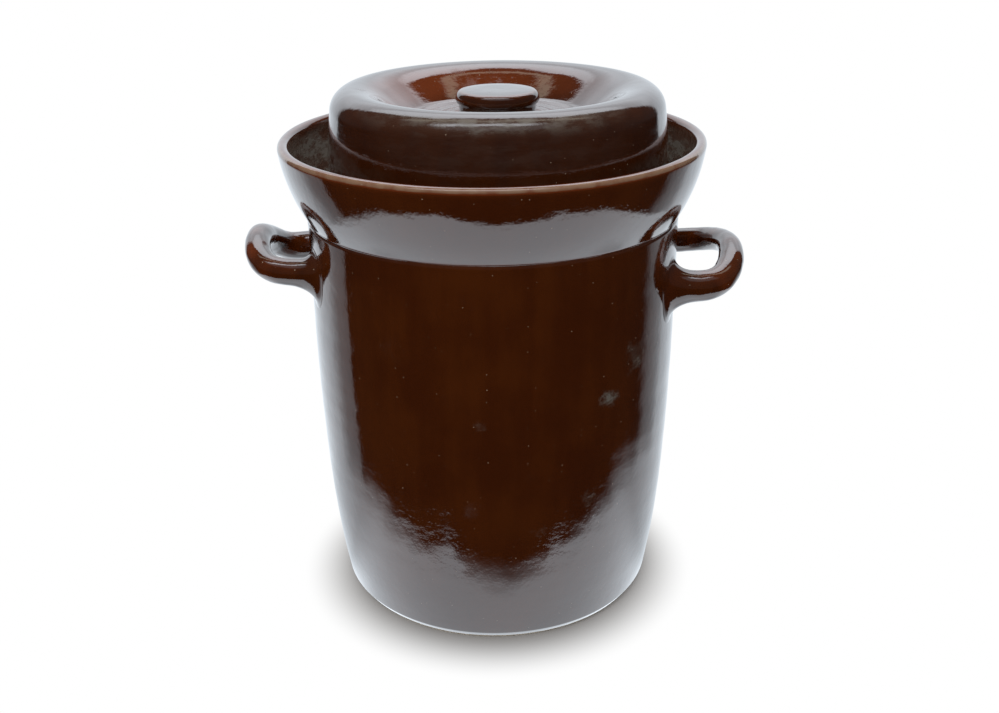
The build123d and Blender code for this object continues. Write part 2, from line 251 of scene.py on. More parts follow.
class StageLook(bpy.types.PropertyGroup):
    """Camera, floor and light."""

    camera_place: place("Camera", (0.00347, -0.760, 0.49524), "Where the camera stands")
    camera_tilt: FloatProperty(
        name="Camera tilt", description="How far the camera looks down", default=0.410, subtype="ANGLE"
    )
    camera_roll: FloatProperty(
        name="Camera roll", description="How far the camera leans", default=-0.011, subtype="ANGLE"
    )
    lens: FloatProperty(name="Lens", description="Focal length in millimetres", default=40.97)
    floor_radius: length("Floor radius", 3.0, "Radius of the floor")
    # The floor's grey round the jar is a painted shadow; these set where it starts, how far it leans to the
    # front and where it ends.
    shadow_start: length("Shadow start", 0.096, "Distance up to which the floor shows its full shading")
    shadow_shift: length("Shadow shift", 0.008, "How far the shading reaches towards the front")
    shadow_end: length("Shadow end", 0.150, "Distance at which it has faded to white")
    ambient: share("Ambient light", 0.5, "Even light from all round")
    pale: colour("Pale", (0.86, 0.93, 1.0), "Tint of the pale table and backdrop that the glaze mirrors")


class PickleJar(bpy.types.PropertyGroup):
    """Everything that can be set for the jar and its stage."""

    crock: PointerProperty(type=CrockShape)
    collar: PointerProperty(type=CollarShape)
    lid: PointerProperty(type=LidShape)
    knob: PointerProperty(type=KnobShape)
    right_ear: PointerProperty(type=RightEarShape)
    left_ear: PointerProperty(type=LeftEarShape)
    stone: PointerProperty(type=StoneShape)
    glaze: PointerProperty(type=GlazeLook)
    stage: PointerProperty(type=StageLook)


# Outlines: lists of (radius, height)


def line(start, end, steps=1):
    """Points of a straight run, both ends included."""
    ways = (end[0] - start[0], end[1] - start[1])
    return [
        (start[0] + ways[0] * step / steps, start[1] + ways[1] * step / steps)
        for step in range(steps + 1)
    ]


def arc(centre, radius, start, end, steps=8):
    """Points of an arc between two angles in radians, measured from the outward direction."""
    angles = [start + (end - start) * step / steps for step in range(steps + 1)]
    return [(centre[0] + radius * math.cos(a), centre[1] + radius * math.sin(a)) for a in angles]


def hermite(start, start_slope, end, end_slope, steps=8):
    """Points of a smooth run between two places, with its direction given at both."""
    reach = math.dist(start, end)
    points = []
    for step in range(steps + 1):
        t = step / steps
        weights = (
            2 * t**3 - 3 * t**2 + 1,
            (t**3 - 2 * t**2 + t) * reach,
            3 * t**2 - 2 * t**3,
            (t**3 - t**2) * reach,
        )
        parts = (start, start_slope, end, end_slope)
        points.append(tuple(sum(w * p[axis] for w, p in zip(weights, parts)) for axis in (0, 1)))
    return points


def corner(before, point, after, radius, steps=4):
    """A rounded corner between two straight runs."""
    here = Vector(point)
    back = (Vector(before) - here).normalized()
    ahead = (Vector(after) - here).normalized()
    half = back.angle(ahead) / 2
    reach = radius / math.tan(half)
    centre = here + (back + ahead).normalized() * (radius / math.sin(half))
    first = here + back * reach - centre
    turn = first.angle_signed(here + ahead * reach - centre)
    start = math.atan2(first.y, first.x)
    return arc(tuple(centre), radius, start, start - turn, steps)


def joined(*runs):
    """One outline from runs that follow each other, without repeated points."""
    outline = []
    for run in runs:
        for point in run:
            if not outline or math.dist(outline[-1], point) > 1e-6:
                outline.append(tuple(point))
    return outline


def circles_meet(centre_a, radius_a, centre_b, radius_b):
    """The left-hand one, seen from a to b, of the two points where the circles cross."""
    gap = math.dist(centre_a, centre_b)
    along = (gap**2 + radius_a**2 - radius_b**2) / (2 * gap)
    beside = math.sqrt(radius_a**2 - along**2)
    ux, uz = (centre_b[0] - centre_a[0]) / gap, (centre_b[1] - centre_a[1]) / gap
    return centre_a[0] + along * ux - beside * uz, centre_a[1] + along * uz + beside * ux


def bearing(centre, point):
    """The angle at which a point is seen from a centre."""
    return math.atan2(point[1] - centre[1], point[0] - centre[0])


def side_radius(crock, height):
    """Outside radius of the pot between its heel and its shoulder."""
    left = (crock.shoulder_height - height) / (crock.shoulder_height - crock.heel_height)
    taper = crock.shoulder_radius - crock.heel_radius
    return crock.shoulder_radius - taper * max(left, 0.0) ** crock.side_power


def side_run(crock, low, high, inset, steps):
    """Points of the pot's side between two heights, moved in by inset."""
    heights = [low + (high - low) * step / steps for step in range(steps + 1)]
    return [(side_radius(crock, height) - inset, height) for height in heights]


def collar_section(crock, collar):
    """Centre of the collar's curve, centre of its round lip and radius of its seat."""
    lip = collar.thickness / 2
    lip_centre = (collar.rim_radius - lip, collar.rim_height - lip)
    crease = (crock.shoulder_radius, crock.shoulder_height)
    centre = circles_meet(crease, collar.curve, lip_centre, collar.curve - lip)
    inner = collar.curve - collar.thickness
    seat = centre[0] + math.sqrt(inner**2 - (crock.channel_floor - centre[1]) ** 2)
    return centre, lip_centre, seat


# Meshes


def hand(point, size, grain):
    """How far the potter's hand has moved a point: a smooth, repeatable wobble."""
    return size * noise.noise(Vector(point) / grain)


def thrown(co, axis_x, wobble):
    """A point of a turned piece, moved in or out by its throwing rings and by the potter's hand."""
    rings, ring_height, swell, swell_size = wobble
    out = Vector((co.x - axis_x, co.y, 0.0))
    radius = out.length
    if radius < 1e-6:
        return co
    angle = math.atan2(out.y, out.x)
    climb = co.z / ring_height + angle / math.tau
    ring = rings * noise.noise(Vector((0.0, 0.3 * math.cos(angle), climb)))
    move = ring + hand((co.x, co.y, co.z), swell, swell_size)
    return co + out * (move / radius)


def turned(name, outline, thin, axis_x=0.0, closed=False, wobble=None, angles=None, film=None):
    """A mesh turned about an upright axis. thin and film follow (radius, height, angle)."""
    if angles is None:
        angles = [math.tau * step / SEGMENTS for step in range(SEGMENTS)]
    mesh = bmesh.new()
    layer = mesh.verts.layers.float.new(THIN_GLAZE)
    film_layer = mesh.verts.layers.float.new(DULL_FILM)
    rings = []
    for radius, height in outline:
        turns = angles if radius > 1e-6 else [0.0]
        ring = []
        for angle in turns:
            co = Vector((axis_x + radius * math.cos(angle), radius * math.sin(angle), height))
            vert = mesh.verts.new(thrown(co, axis_x, wobble) if wobble else co)
            vert[layer] = thin(radius, height, angle)
            vert[film_layer] = film(radius, height, angle) if film else 0.0
            ring.append(vert)
        rings.append(ring)
    bridged(mesh, rings, closed)
    return finished(name, mesh)


def bridged(mesh, rings, closed=False):
    """Faces from ring to ring, and from the last to the first if closed. A ring may be one point."""
    pairs = list(zip(rings, rings[1:]))
    if closed:
        pairs.append((rings[-1], rings[0]))
    for lower, upper in pairs:
        around = max(len(lower), len(upper))
        for step in range(around):
            ahead = (step + 1) % around
            corners = [
                lower[step % len(lower)],
                lower[ahead % len(lower)],
                upper[ahead % len(upper)],
                upper[step % len(upper)],
            ]
            mesh.faces.new(list(dict.fromkeys(corners)))


def finished(name, mesh):
    """A smooth-shaded object in the scene from a bmesh, its faces turned outwards."""
    bmesh.ops.recalc_face_normals(mesh, faces=mesh.faces)
    for face in mesh.faces:
        face.smooth = True
    data = bpy.data.meshes.new(name)
    mesh.to_mesh(data)
    mesh.free()
    if not data.polygons:
        raise RuntimeError(f"{name} came out empty")
    piece = bpy.data.objects.new(name, data)
    bpy.context.scene.collection.objects.link(piece)
    return piece


def dressed(piece, body, node, material):
    """Give the piece its material and let it ride on its body in place of its node."""
    piece.data.materials.append(material)
    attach(piece, body)
    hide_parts(node)


def fading(distance, reach):
    """1 at no distance, 0 from reach on, smooth between."""
    t = min(max(1 - distance / reach, 0.0), 1.0)
    return t * t * (3 - 2 * t)


def crock_outline(crock, collar):
    """The pot's section, from the middle of its underside round to the middle of its floor."""
    ring_inner = crock.foot_radius - crock.foot_ring_width
    recess_edge = ring_inner - crock.foot_recess
    seat = collar_section(crock, collar)[2]
    neck_radius = crock.mouth_radius + crock.neck
    neck_round = crock.neck / 2
    neck_top = crock.neck_top - neck_round
    underside = crock.channel_floor - crock.channel_floor_thickness
    bend_height = underside - crock.shoulder_bend
    bend = (side_radius(crock, bend_height) - crock.wall - crock.shoulder_bend, bend_height)
    corner_height = crock.floor + crock.floor_corner
    floor_corner = (side_radius(crock, corner_height) - crock.wall - crock.floor_corner, corner_height)
    neck_root = (neck_radius + crock.neck_root, crock.channel_floor + crock.neck_root)
    mouth_edge = (crock.mouth_radius + crock.mouth_edge, underside + crock.mouth_edge)
    foot = (crock.foot_radius, 0.0)
    heel = (crock.heel_radius, crock.heel_height)
    above_heel = (side_radius(crock, 2 * crock.heel_height), 2 * crock.heel_height)
    quarter = math.pi / 2
    return joined(
        line((0, crock.foot_recess), (recess_edge, crock.foot_recess), 6),
        line((recess_edge, crock.foot_recess), (ring_inner, 0), 2),
        line((ring_inner, 0), (crock.foot_radius - 2 * crock.foot_edge, 0), 3),
        corner((ring_inner, 0), foot, heel, crock.foot_edge),
        corner(foot, heel, above_heel, 3 * crock.foot_edge),
        side_run(crock, 2 * crock.heel_height, crock.shoulder_height, 0, 72),
        line((crock.shoulder_radius, crock.shoulder_height), (seat, crock.shoulder_height), 2),
        line((seat, crock.shoulder_height), (seat, crock.channel_floor), 2),
        line((seat, crock.channel_floor), (neck_root[0], crock.channel_floor), 6),
        arc(neck_root, crock.neck_root, -quarter, -2 * quarter, 6),
        line((neck_radius, neck_root[1]), (neck_radius, neck_top), 8),
        arc((crock.mouth_radius + neck_round, neck_top), neck_round, 0, 2 * quarter, 14),
        line((crock.mouth_radius, neck_top), (crock.mouth_radius, mouth_edge[1]), 10),
        arc(mouth_edge, crock.mouth_edge, 2 * quarter, 3 * quarter, 6),
        line((mouth_edge[0], underside), (bend[0], underside), 2),
        arc(bend, crock.shoulder_bend, quarter, 0, 8),
        side_run(crock, bend_height, corner_height, crock.wall, 60),
        arc(floor_corner, crock.floor_corner, 0, -quarter, 8),
        line((floor_corner[0], crock.floor), (0, crock.floor), 14),
    )


class CrockBodyOperator(bpy.types.Operator):
    """Turn the pot: foot, side, channel floor and neck"""

    bl_idname = "pickle_jar.crock_body"
    bl_label = "Pot"

    def execute(self, context):
        jar = context.scene.pickle_jar
        crock = jar.crock
        neck_middle = crock.mouth_radius + crock.neck / 2

        edge_reach = 0.006

        def thin(radius, height, angle):
            from_neck = math.dist((radius, height), (neck_middle, crock.neck_top))
            foot_edge = fading(height, edge_reach) if radius > crock.foot_radius else 0.0
            return max(fading(from_neck, edge_reach), 0.6 * foot_edge)

        piece = turned("pot", crock_outline(crock, jar.collar), thin, wobble=POT_HAND)
        dressed(piece, "crock", "crock_body", crock_glaze_material(jar.glaze))
        return {"FINISHED"}


class CollarOperator(bpy.types.Operator):
    """Turn the flared collar that holds the sealing water"""

    bl_idname = "pickle_jar.collar"
    bl_label = "Channel collar"

    def execute(self, context):
        jar = context.scene.pickle_jar
        crock, collar = jar.crock, jar.collar
        centre, lip_centre, seat = collar_section(crock, collar)
        lip_angle = bearing(centre, lip_centre)
        fill_top = (0.0, crock.shoulder_height + 1.6 * collar.crease)
        crease_angle = math.asin((fill_top[1] - centre[1]) / collar.curve)
        meets = (centre[0] + collar.curve * math.cos(crease_angle), fill_top[1])
        wall_below = (crock.shoulder_radius, crock.shoulder_height - 1.6 * collar.crease)
        up_the_curve = (-math.sin(crease_angle), math.cos(crease_angle))
        inner = collar.curve - collar.thickness
        outline = joined(
            line((seat, crock.shoulder_height), (seat + 0.3 * collar.thickness, crock.shoulder_height)),
            hermite(wall_below, (0.0, 1.0), meets, up_the_curve, 6),
            arc(centre, collar.curve, crease_angle, lip_angle, 34),
            arc(lip_centre, collar.thickness / 2, lip_angle, lip_angle + math.pi, 18),
            arc(centre, inner, lip_angle, bearing(centre, (seat, crock.channel_floor)), 24),
        )
        lip_top = collar.rim_height
        # Centre of the pale band on the lip's outer top: glaze worn thin there, and in part a painted
        # highlight.
        lip_edge = (lip_centre[0] + 0.4 * collar.thickness, lip_top - 0.2 * collar.thickness)
        edge_width, edge_reach, lip_reach, crease_reach = 0.0010, 0.0026, 0.0095, 0.002
        film_starts = 0.014
        inside = collar.curve - 0.7 * collar.thickness

        def thin(radius, height, angle):
            from_edge = math.dist((radius, height), lip_edge) - edge_width
            edge = fading(max(from_edge, 0.0), edge_reach)
            lip = fading(lip_top - height, lip_reach)
            crease = fading(abs(height - crock.shoulder_height), crease_reach)
            return max(edge, 0.45 * lip, 0.3 * crease)

        def film(radius, height, angle):
            if math.dist((radius, height), centre) >= inside:
                return 0.0
            return 1 - fading(lip_top - height, film_starts)

        piece = turned(
            "channel_collar_glazed", outline, thin, closed=True, wobble=COLLAR_HAND, film=film
        )
        dressed(piece, "crock", "channel_collar", crock_glaze_material(jar.glaze))
        return {"FINISHED"}


def dish_radius(lid):
    """Radius of the dish's flat floor, inside its slope and the bends at both ends."""
    both_bends = lid.crest_bend + lid.floor_bend
    drop = lid.crest_height - lid.dish_height
    straight = (drop - both_bends * (1 - math.cos(lid.slope))) / math.sin(lid.slope)
    return lid.crest_radius - both_bends * math.sin(lid.slope) - straight * math.cos(lid.slope)


def ringed_floor(lid, floor_radius):
    """The dish's floor with the shallow rings that the turning has left in it."""
    steps = 90
    run = []
    for step in range(steps + 1):
        radius = floor_radius * step / steps
        ring = math.sin(math.tau * radius / lid.ring_width) ** 3
        fade = fading(abs(radius - 0.72 * floor_radius), 0.28 * floor_radius)
        run.append((radius, lid.dish_height + lid.ring_height * ring * fade))
    return run


def lid_outline(crock, lid):
    """The lid's section, from the middle of its top over the wall and back under its dish."""
    shoulder = (lid.crest_radius, lid.crest_height - lid.shoulder_bend)
    rim = (lid.rim_radius, crock.channel_floor)
    wall_centre = circles_meet(rim, lid.wall_curve, shoulder, lid.wall_curve - lid.shoulder_bend)
    wall_angle = bearing(wall_centre, shoulder)
    inner = lid.wall_curve - lid.thickness
    edge = lid.rim_edge
    outer_foot = math.asin((crock.channel_floor + edge - wall_centre[1]) / lid.wall_curve)
    inner_foot = math.asin((crock.channel_floor + edge - wall_centre[1]) / inner)
    outer_edge = wall_centre[0] + lid.wall_curve * math.cos(outer_foot) - edge
    inner_edge = wall_centre[0] + inner * math.cos(inner_foot) + edge
    quarter = math.pi / 2
    floor_radius = dish_radius(lid)
    crest = (lid.crest_radius, lid.crest_height - lid.crest_bend)
    dish = (floor_radius, lid.dish_height + lid.floor_bend)
    floor_run = arc(dish, lid.floor_bend, -quarter, lid.slope - quarter, 8)
    crest_run = arc(crest, lid.crest_bend, quarter + lid.slope, quarter, 22)
    underside = lid.dish_height - lid.thickness
    return joined(
        ringed_floor(lid, floor_radius),
        floor_run,
        line(floor_run[-1], crest_run[0], 10),
        crest_run,
        arc(shoulder, lid.shoulder_bend, quarter, wall_angle, 18),
        arc(wall_centre, lid.wall_curve, wall_angle, outer_foot, 40),
        arc((outer_edge, crock.channel_floor + edge), edge, 0, -quarter, 6),
        line((outer_edge, crock.channel_floor), (inner_edge, crock.channel_floor), 2),
        arc((inner_edge, crock.channel_floor + edge), edge, -quarter, -2 * quarter, 6),
        arc(wall_centre, inner, inner_foot, wall_angle, 30),
        arc(shoulder, lid.shoulder_bend - lid.thickness, wall_angle, quarter, 10),
        arc(crest, lid.crest_bend - lid.thickness, quarter, quarter + lid.slope, 12),
        arc(dish, lid.floor_bend + lid.thickness, lid.slope - quarter, -quarter, 10),
        line((floor_radius, underside), (0, underside), 6),
    )


class LidOperator(bpy.types.Operator):
    """Turn the dished lid and notch its rim"""

    bl_idname = "pickle_jar.lid"
    bl_label = "Lid"

    def execute(self, context):
        jar = context.scene.pickle_jar
        crock, lid = jar.crock, jar.lid
        rim_middle = lid.rim_radius - lid.thickness / 2
        notches = [
            lid.notch_angle + math.tau * index / lid.notch_count for index in range(lid.notch_count)
        ]
        fine = 0.0004     # step along the rim at a notch
        reach = int(1.3 * lid.notch_radius / fine)
        angles = {round(math.tau * step / SEGMENTS, 6) for step in range(SEGMENTS)}
        angles |= {
            round((notch + step * fine / rim_middle) % math.tau, 6)
            for notch in notches
            for step in range(-reach, reach + 1)
        }
        slope_width = lid.crest_radius - dish_radius(lid)
        slope_middle = lid.crest_radius - 0.6 * slope_width

        def thin(radius, height, angle):
            if height < lid.dish_height - 0.5 * lid.thickness or radius > lid.crest_radius:
                return 0.0
            slope = fading(abs(radius - slope_middle), 0.7 * slope_width)
            return slope * (0.42 + 0.28 * math.cos(angle - 2.6))

        # A pale dull film on the front of the lid's shoulder: dust, and in part a painted haze of reflected
        # lamp light.
        shoulder_edge = lid.crest_radius + 0.5 * lid.shoulder_bend
        film_depth = 0.06        # the dust and painted haze end this far below the crest
        film_swing = 1.15        # and this far round from the front, in radians
        bands = ((0.85, 0.004, 0.010), (0.10, 0.022, 0.02))     # share, depth and reach

        def film(radius, height, angle):
            below = lid.crest_height - height
            if radius < shoulder_edge or below > film_depth:
                return 0.0
            from_front = abs((angle + math.pi / 2 + math.pi) % math.tau - math.pi)
            dust = sum(part * fading(abs(below - depth), reach) for part, depth, reach in bands)
            return fading(from_front, film_swing) * dust

        piece = turned(
            "lid", lid_outline(crock, lid), thin, lid.offset,
            wobble=LID_HAND, angles=sorted(angles), film=film,
        )
        cut_notches(piece, jar, notches)
        dressed(piece, "lid", "lid_shell", lid_glaze_material(jar.glaze))
        return {"FINISHED"}


def cut_notches(piece, jar, notches):
    """Lift the rim into half-round notches that let gas out under the water."""
    lid, low = jar.lid, jar.crock.channel_floor
    for vert in piece.data.vertices:
        out = Vector((vert.co.x - lid.offset, vert.co.y))
        if vert.co.z > low + 2 * lid.notch_radius or out.length < lid.crest_radius:
            continue
        angle = math.atan2(out.y, out.x)
        for notch in notches:
            away = (angle - notch + math.pi) % math.tau - math.pi
            aside = abs(away) * out.length
            if aside < lid.notch_radius:
                vert.co.z = max(vert.co.z, low + math.sqrt(lid.notch_radius**2 - aside**2))


class KnobOperator(bpy.types.Operator):
    """Turn the knob in the middle of the dish"""

    bl_idname = "pickle_jar.knob"
    bl_label = "Knob"

    def execute(self, context):
        jar = context.scene.pickle_jar
        knob, floor = jar.knob, jar.lid.dish_height
        foot = (knob.waist_radius + knob.foot_blend, floor)
        blended = (knob.waist_radius, floor + knob.foot_blend)
        waist = (knob.waist_radius, floor + knob.waist_height)
        widest = (knob.head_radius, floor + knob.head_height)
        edge = (knob.top_radius, floor + knob.height - knob.dome)
        top = (0.0, floor + knob.height)
        outline = joined(
            line((0, floor), foot, 3),
            hermite(foot, (-1.0, 0.0), blended, (0.0, 1.0), 5),
            line(blended, waist, 2),
            hermite(waist, (0.35, 0.95), widest, (0.0, 1.0), 7),
            hermite(widest, (0.0, 1.0), edge, (-1.0, 0.2), 10),
            hermite(edge, (-1.0, 0.12), top, (-1.0, 0.0), 12),
        )

        glaze_reach = 0.004

        def thin(radius, height, angle):
            return 0.5 * fading(math.dist((radius, height), edge), glaze_reach)

        # A pale dull band round the waist: dust, and in part a painted haze of reflection.
        def film(radius, height, angle):
            return 0.4 * fading(abs(height - waist[1]), glaze_reach)

        piece = turned("knob", outline, thin, jar.lid.offset, wobble=KNOB_HAND, film=film)
        dressed(piece, "lid", "lid_knob", lid_glaze_material(jar.glaze))
        return {"FINISHED"}


class RollPath:
    """The line through an ear's five places, as a natural cubic spline along its length."""

    def __init__(self, places, rolls, oval):
        self.places = np.array(places, float)
        steps = np.linalg.norm(np.diff(self.places, axis=0), axis=1)
        self.knots = np.concatenate([[0.0], np.cumsum(steps)])
        self.bends = self.solve(steps)
        self.rolls = rolls
        self.oval = oval
        fine = np.linspace(0.0, self.knots[-1], 400)
        line_points = np.array([self.at(knot)[0] for knot in fine])
        self.fine = fine
        self.lengths = np.concatenate(
            [[0.0], np.cumsum(np.linalg.norm(np.diff(line_points, axis=0), axis=1))]
        )

    def solve(self, steps):
        """Second derivatives at the places, none at both ends."""
        count = len(self.places)
        matrix = np.eye(count)
        slopes = np.zeros((count, 3))
        for index in range(1, count - 1):
            before, after = steps[index - 1], steps[index]
            matrix[index, index - 1 : index + 2] = before, 2 * (before + after), after
            rise = (self.places[index + 1] - self.places[index]) / after
            slopes[index] = 6 * (rise - (self.places[index] - self.places[index - 1]) / before)
        return np.linalg.solve(matrix, slopes)

    def at(self, knot):
        """Place and direction at a knot value."""
        index = int(min(max(np.searchsorted(self.knots, knot, "right") - 1, 0), len(self.knots) - 2))
        step = self.knots[index + 1] - self.knots[index]
        b = (knot - self.knots[index]) / step
        a = 1 - b
        low, high = self.places[index], self.places[index + 1]
        low_bend, high_bend = self.bends[index], self.bends[index + 1]
        point = a * low + b * high + ((a**3 - a) * low_bend + (b**3 - b) * high_bend) * step**2 / 6
        way = (high - low) / step + ((3 * b**2 - 1) * high_bend - (3 * a**2 - 1) * low_bend) * step / 6
        return point, way / np.linalg.norm(way)

    def total(self):
        """Length of the line."""
        return self.lengths[-1]

    def section(self, distance):
        """Centre, direction, level and upright half axes of the roll, a distance along it."""
        point, way = self.at(float(np.interp(distance, self.lengths, self.fine)))
        place_share = math.cos(math.pi * min(max(distance / self.total(), 0.0), 1.0))
        front, middle, back = self.rolls
        roll = middle + (front - back) / 2 * place_share + ((front + back) / 2 - middle) * place_share**2
        level = np.cross(way, (0.0, 0.0, 1.0))
        level /= np.linalg.norm(level)
        return point, way, level * roll, np.cross(level, way) * roll * self.oval

    def surface(self, distance, angle):
        """A point of the roll's surface and the roll's direction there."""
        point, way, level, upright = self.section(distance)
        return point + level * math.cos(angle) + upright * math.sin(angle), way


def on_wall(crock, point):
    """The point moved level on to the pot's side, and the side's outward direction there."""
    radius = side_radius(crock, point[2])
    out = math.hypot(point[0], point[1])
    rise = 1e-4
    lean = (side_radius(crock, point[2] + rise) - radius) / rise
    spot = np.array((point[0] * radius / out, point[1] * radius / out, point[2]))
    normal = np.array((point[0] / out, point[1] / out, -lean))
    return spot, normal / np.linalg.norm(normal)


def wall_ahead(crock, start, way):
    """Where a straight line from outside the pot reaches its side."""
    near, far = 0.0, 0.09     # the wall is reached within this length
    for _ in range(40):
        middle = (near + far) / 2
        spot = start + way * middle
        outside = math.hypot(spot[0], spot[1]) > side_radius(crock, spot[2])
        near, far = (middle, far) if outside else (near, middle)
    return start + way * near


def four_ways(sizes, angle, inward):
    """A size for each direction round the roll, from those up, down, in and out."""
    up, down, gap_side, outer = sizes
    upright = up if math.sin(angle) > 0 else down
    level = gap_side if math.cos(angle) * inward > 0 else outer
    return upright * math.sin(angle) ** 2 + level * math.cos(angle) ** 2


def root_rings(crock, path, blend, run, front, around):
    """Rings that carry one end of the roll over on to the wall, outermost first."""
    start = max(run)
    roll_steps, blend_steps = 4, 12
    tight = 0.62                        # how far the spread's curve is pulled into its bend
    overrun, sunk = 0.0012, 0.0005      # the last ring lies this far on and in the wall
    sign = 1 if front else -1
    columns = []
    for step in range(around):
        angle = math.tau * step / around
        inward = -1 if path.places[0][0] > 0 else 1
        run_here = four_ways(run, angle, inward)
        spread = four_ways(blend, angle, inward)
        column = []
        for index in range(roll_steps):
            distance = start + (run_here - start) * index / roll_steps
            column.append(path.surface(distance if front else path.total() - distance, angle)[0])
        root, way = path.surface(run_here if front else path.total() - run_here, angle)
        way = -way * sign
        foot, normal = on_wall(crock, wall_ahead(crock, root, way))
        centre = path.section(run_here if front else path.total() - run_here)[0]
        outward = root - centre
        outward -= normal * np.dot(outward, normal)
        outward /= np.linalg.norm(outward)
        landing, normal = on_wall(crock, foot + outward * spread)
        reach = np.dot(landing - root, normal) / np.dot(way, normal)
        bend = root + way * reach
        pull_root = root + (bend - root) * tight
        pull_wall = landing + (bend - landing) * tight
        for index in range(blend_steps + 1):
            t = index / blend_steps
            weights = ((1 - t) ** 3, 3 * t * (1 - t) ** 2, 3 * t**2 * (1 - t), t**3)
            column.append(sum(w * p for w, p in zip(weights, (root, pull_root, pull_wall, landing))))
        beyond, normal = on_wall(crock, landing + outward * overrun)
        column.append(beyond - normal * sunk)
        columns.append(column)
    return [[column[index] for column in columns] for index in range(len(columns[0]))]


def ear_mesh(name, crock, ear):
    """An ear: its roll, and its two ends spread on to the wall."""
    around = 56
    places = [ear.front_end, ear.front_leg, ear.outside, ear.back_leg, ear.back_end]
    path = RollPath(places, (ear.front_roll, ear.middle_roll, ear.back_roll), ear.oval)
    front = root_rings(crock, path, ear.front_blend, ear.front_run, True, around)
    back = root_rings(crock, path, ear.back_blend, ear.back_run, False, around)
    low, high = max(ear.front_run), path.total() - max(ear.back_run)
    steps = 46
    middle = []
    for step in range(1, steps):
        distance = low + (high - low) * step / steps
        middle.append([path.surface(distance, math.tau * index / around)[0] for index in range(around)])
    rings = front[::-1] + middle + back
    root_count = len(front)
    mesh = bmesh.new()
    layer = mesh.verts.layers.float.new(THIN_GLAZE)
    grid = []
    for number, ring in enumerate(rings):
        loose = min(number, len(rings) - 1 - number) / root_count
        hold = min(max(loose, 0.0), 1.0)
        centre = sum(ring) / len(ring)
        row = []
        for point in ring:
            out = Vector(point - centre).normalized()
            move = hold * (hand(point, 0.00045, 0.017) + hand(point, 0.0002, 0.006))
            vert = mesh.verts.new(Vector(point) + out * move)
            ridge = 0.14 + 0.4 * noise.noise(Vector(point) / 0.012)
            vert[layer] = min(max(ridge * hold + 0.12, 0.0), 1.0)
            row.append(vert)
        grid.append(row)
    bridged(mesh, grid)
    for end in (grid[0], grid[-1]):
        mesh.faces.new(end)
    return finished(name, mesh)


class EarsOperator(bpy.types.Operator):
    """Bend the two rolls of clay and press them on to the wall"""

    bl_idname = "pickle_jar.ears"
    bl_label = "Ears"

    def execute(self, context):
        jar = context.scene.pickle_jar
        for name, node, ear in (
            ("ear_right", "handle_right", jar.right_ear),
            ("ear_left", "handle_left", jar.left_ear),
        ):
            piece = ear_mesh(name, jar.crock, ear)
            dressed(piece, "crock", node, ear_glaze_material(jar.glaze))
        return {"FINISHED"}


def half_disc(radius, straight, rounding, inset, steps):
    """Points of a half disc with rounded corners, all moved in by inset, anticlockwise."""
    bend = max(rounding - inset, 1e-5)
    outer = radius - inset
    left = straight + inset
    corner_x = left + bend
    corner_y = math.sqrt((outer - bend) ** 2 - corner_x**2)
    swing = math.atan2(corner_y, corner_x)
    edge = line((left, corner_y), (left, -corner_y), steps)
    low = arc((corner_x, -corner_y), bend, -math.pi, -swing, 8)
    rim = arc((0.0, 0.0), outer, -swing, swing, 2 * steps)
    high = arc((corner_x, corner_y), bend, swing, math.pi, 8)
    return edge[:-1] + low[:-1] + rim[:-1] + high[:-1]


class StonesOperator(bpy.types.Operator):
    """Cut the two half-moon weight stones with their finger holes"""

    bl_idname = "pickle_jar.stones"
    bl_label = "Weight stones"

    def execute(self, context):
        jar = context.scene.pickle_jar
        for name, node, body, mirrored in (
            ("stone_right_fired", "weight_stone_right", "stone_right", 1),
            ("stone_left_fired", "weight_stone_left", "stone_left", -1),
        ):
            piece = stone_mesh(name, jar.stone, mirrored)
            dressed(piece, body, node, bare_clay_material(jar.glaze))
        return {"FINISHED"}


def stone_mesh(name, stone, mirrored):
    """One stone: loops round its edge, over its top, down its hole and back underneath."""
    low, high = STONE_LOW.z, STONE_HIGH.z
    radius = STONE_HIGH.x
    hole = Vector((stone.hole_distance, 0.0))
    turns = [math.pi / 2 * step / 6 for step in range(7)]

    def outer(angle):
        return half_disc(radius, stone.gap, stone.edge, stone.edge * (1 - math.cos(angle)), 24)

    def inner(widening):
        ring = []
        for point in outer(math.pi / 2):
            way = (Vector(point) - hole).normalized()
            ring.append(tuple(hole + way * (stone.hole_radius + widening)))
        return ring

    def hole_loop(angle, face, sign):
        depth = stone.hole_edge * (1 - math.sin(angle))
        return inner(stone.hole_edge * (1 - math.cos(angle))), face + sign * depth

    loops = [(outer(a), low + stone.edge * (1 - math.sin(a))) for a in reversed(turns)]
    loops += [(outer(a), high - stone.edge * (1 - math.sin(a))) for a in turns]
    loops += [hole_loop(a, high, -1) for a in reversed(turns)]
    loops += [hole_loop(a, low, 1) for a in turns]
    mesh = bmesh.new()
    grid = []
    for points, height in loops:
        row = []
        for x, y in points:
            co = Vector((mirrored * x, y, height))
            row.append(mesh.verts.new(co + Vector((0, 0, hand(co, 0.0003, 0.03)))))
        grid.append(row)
    bridged(mesh, grid, closed=True)
    return finished(name, mesh)


# Materials


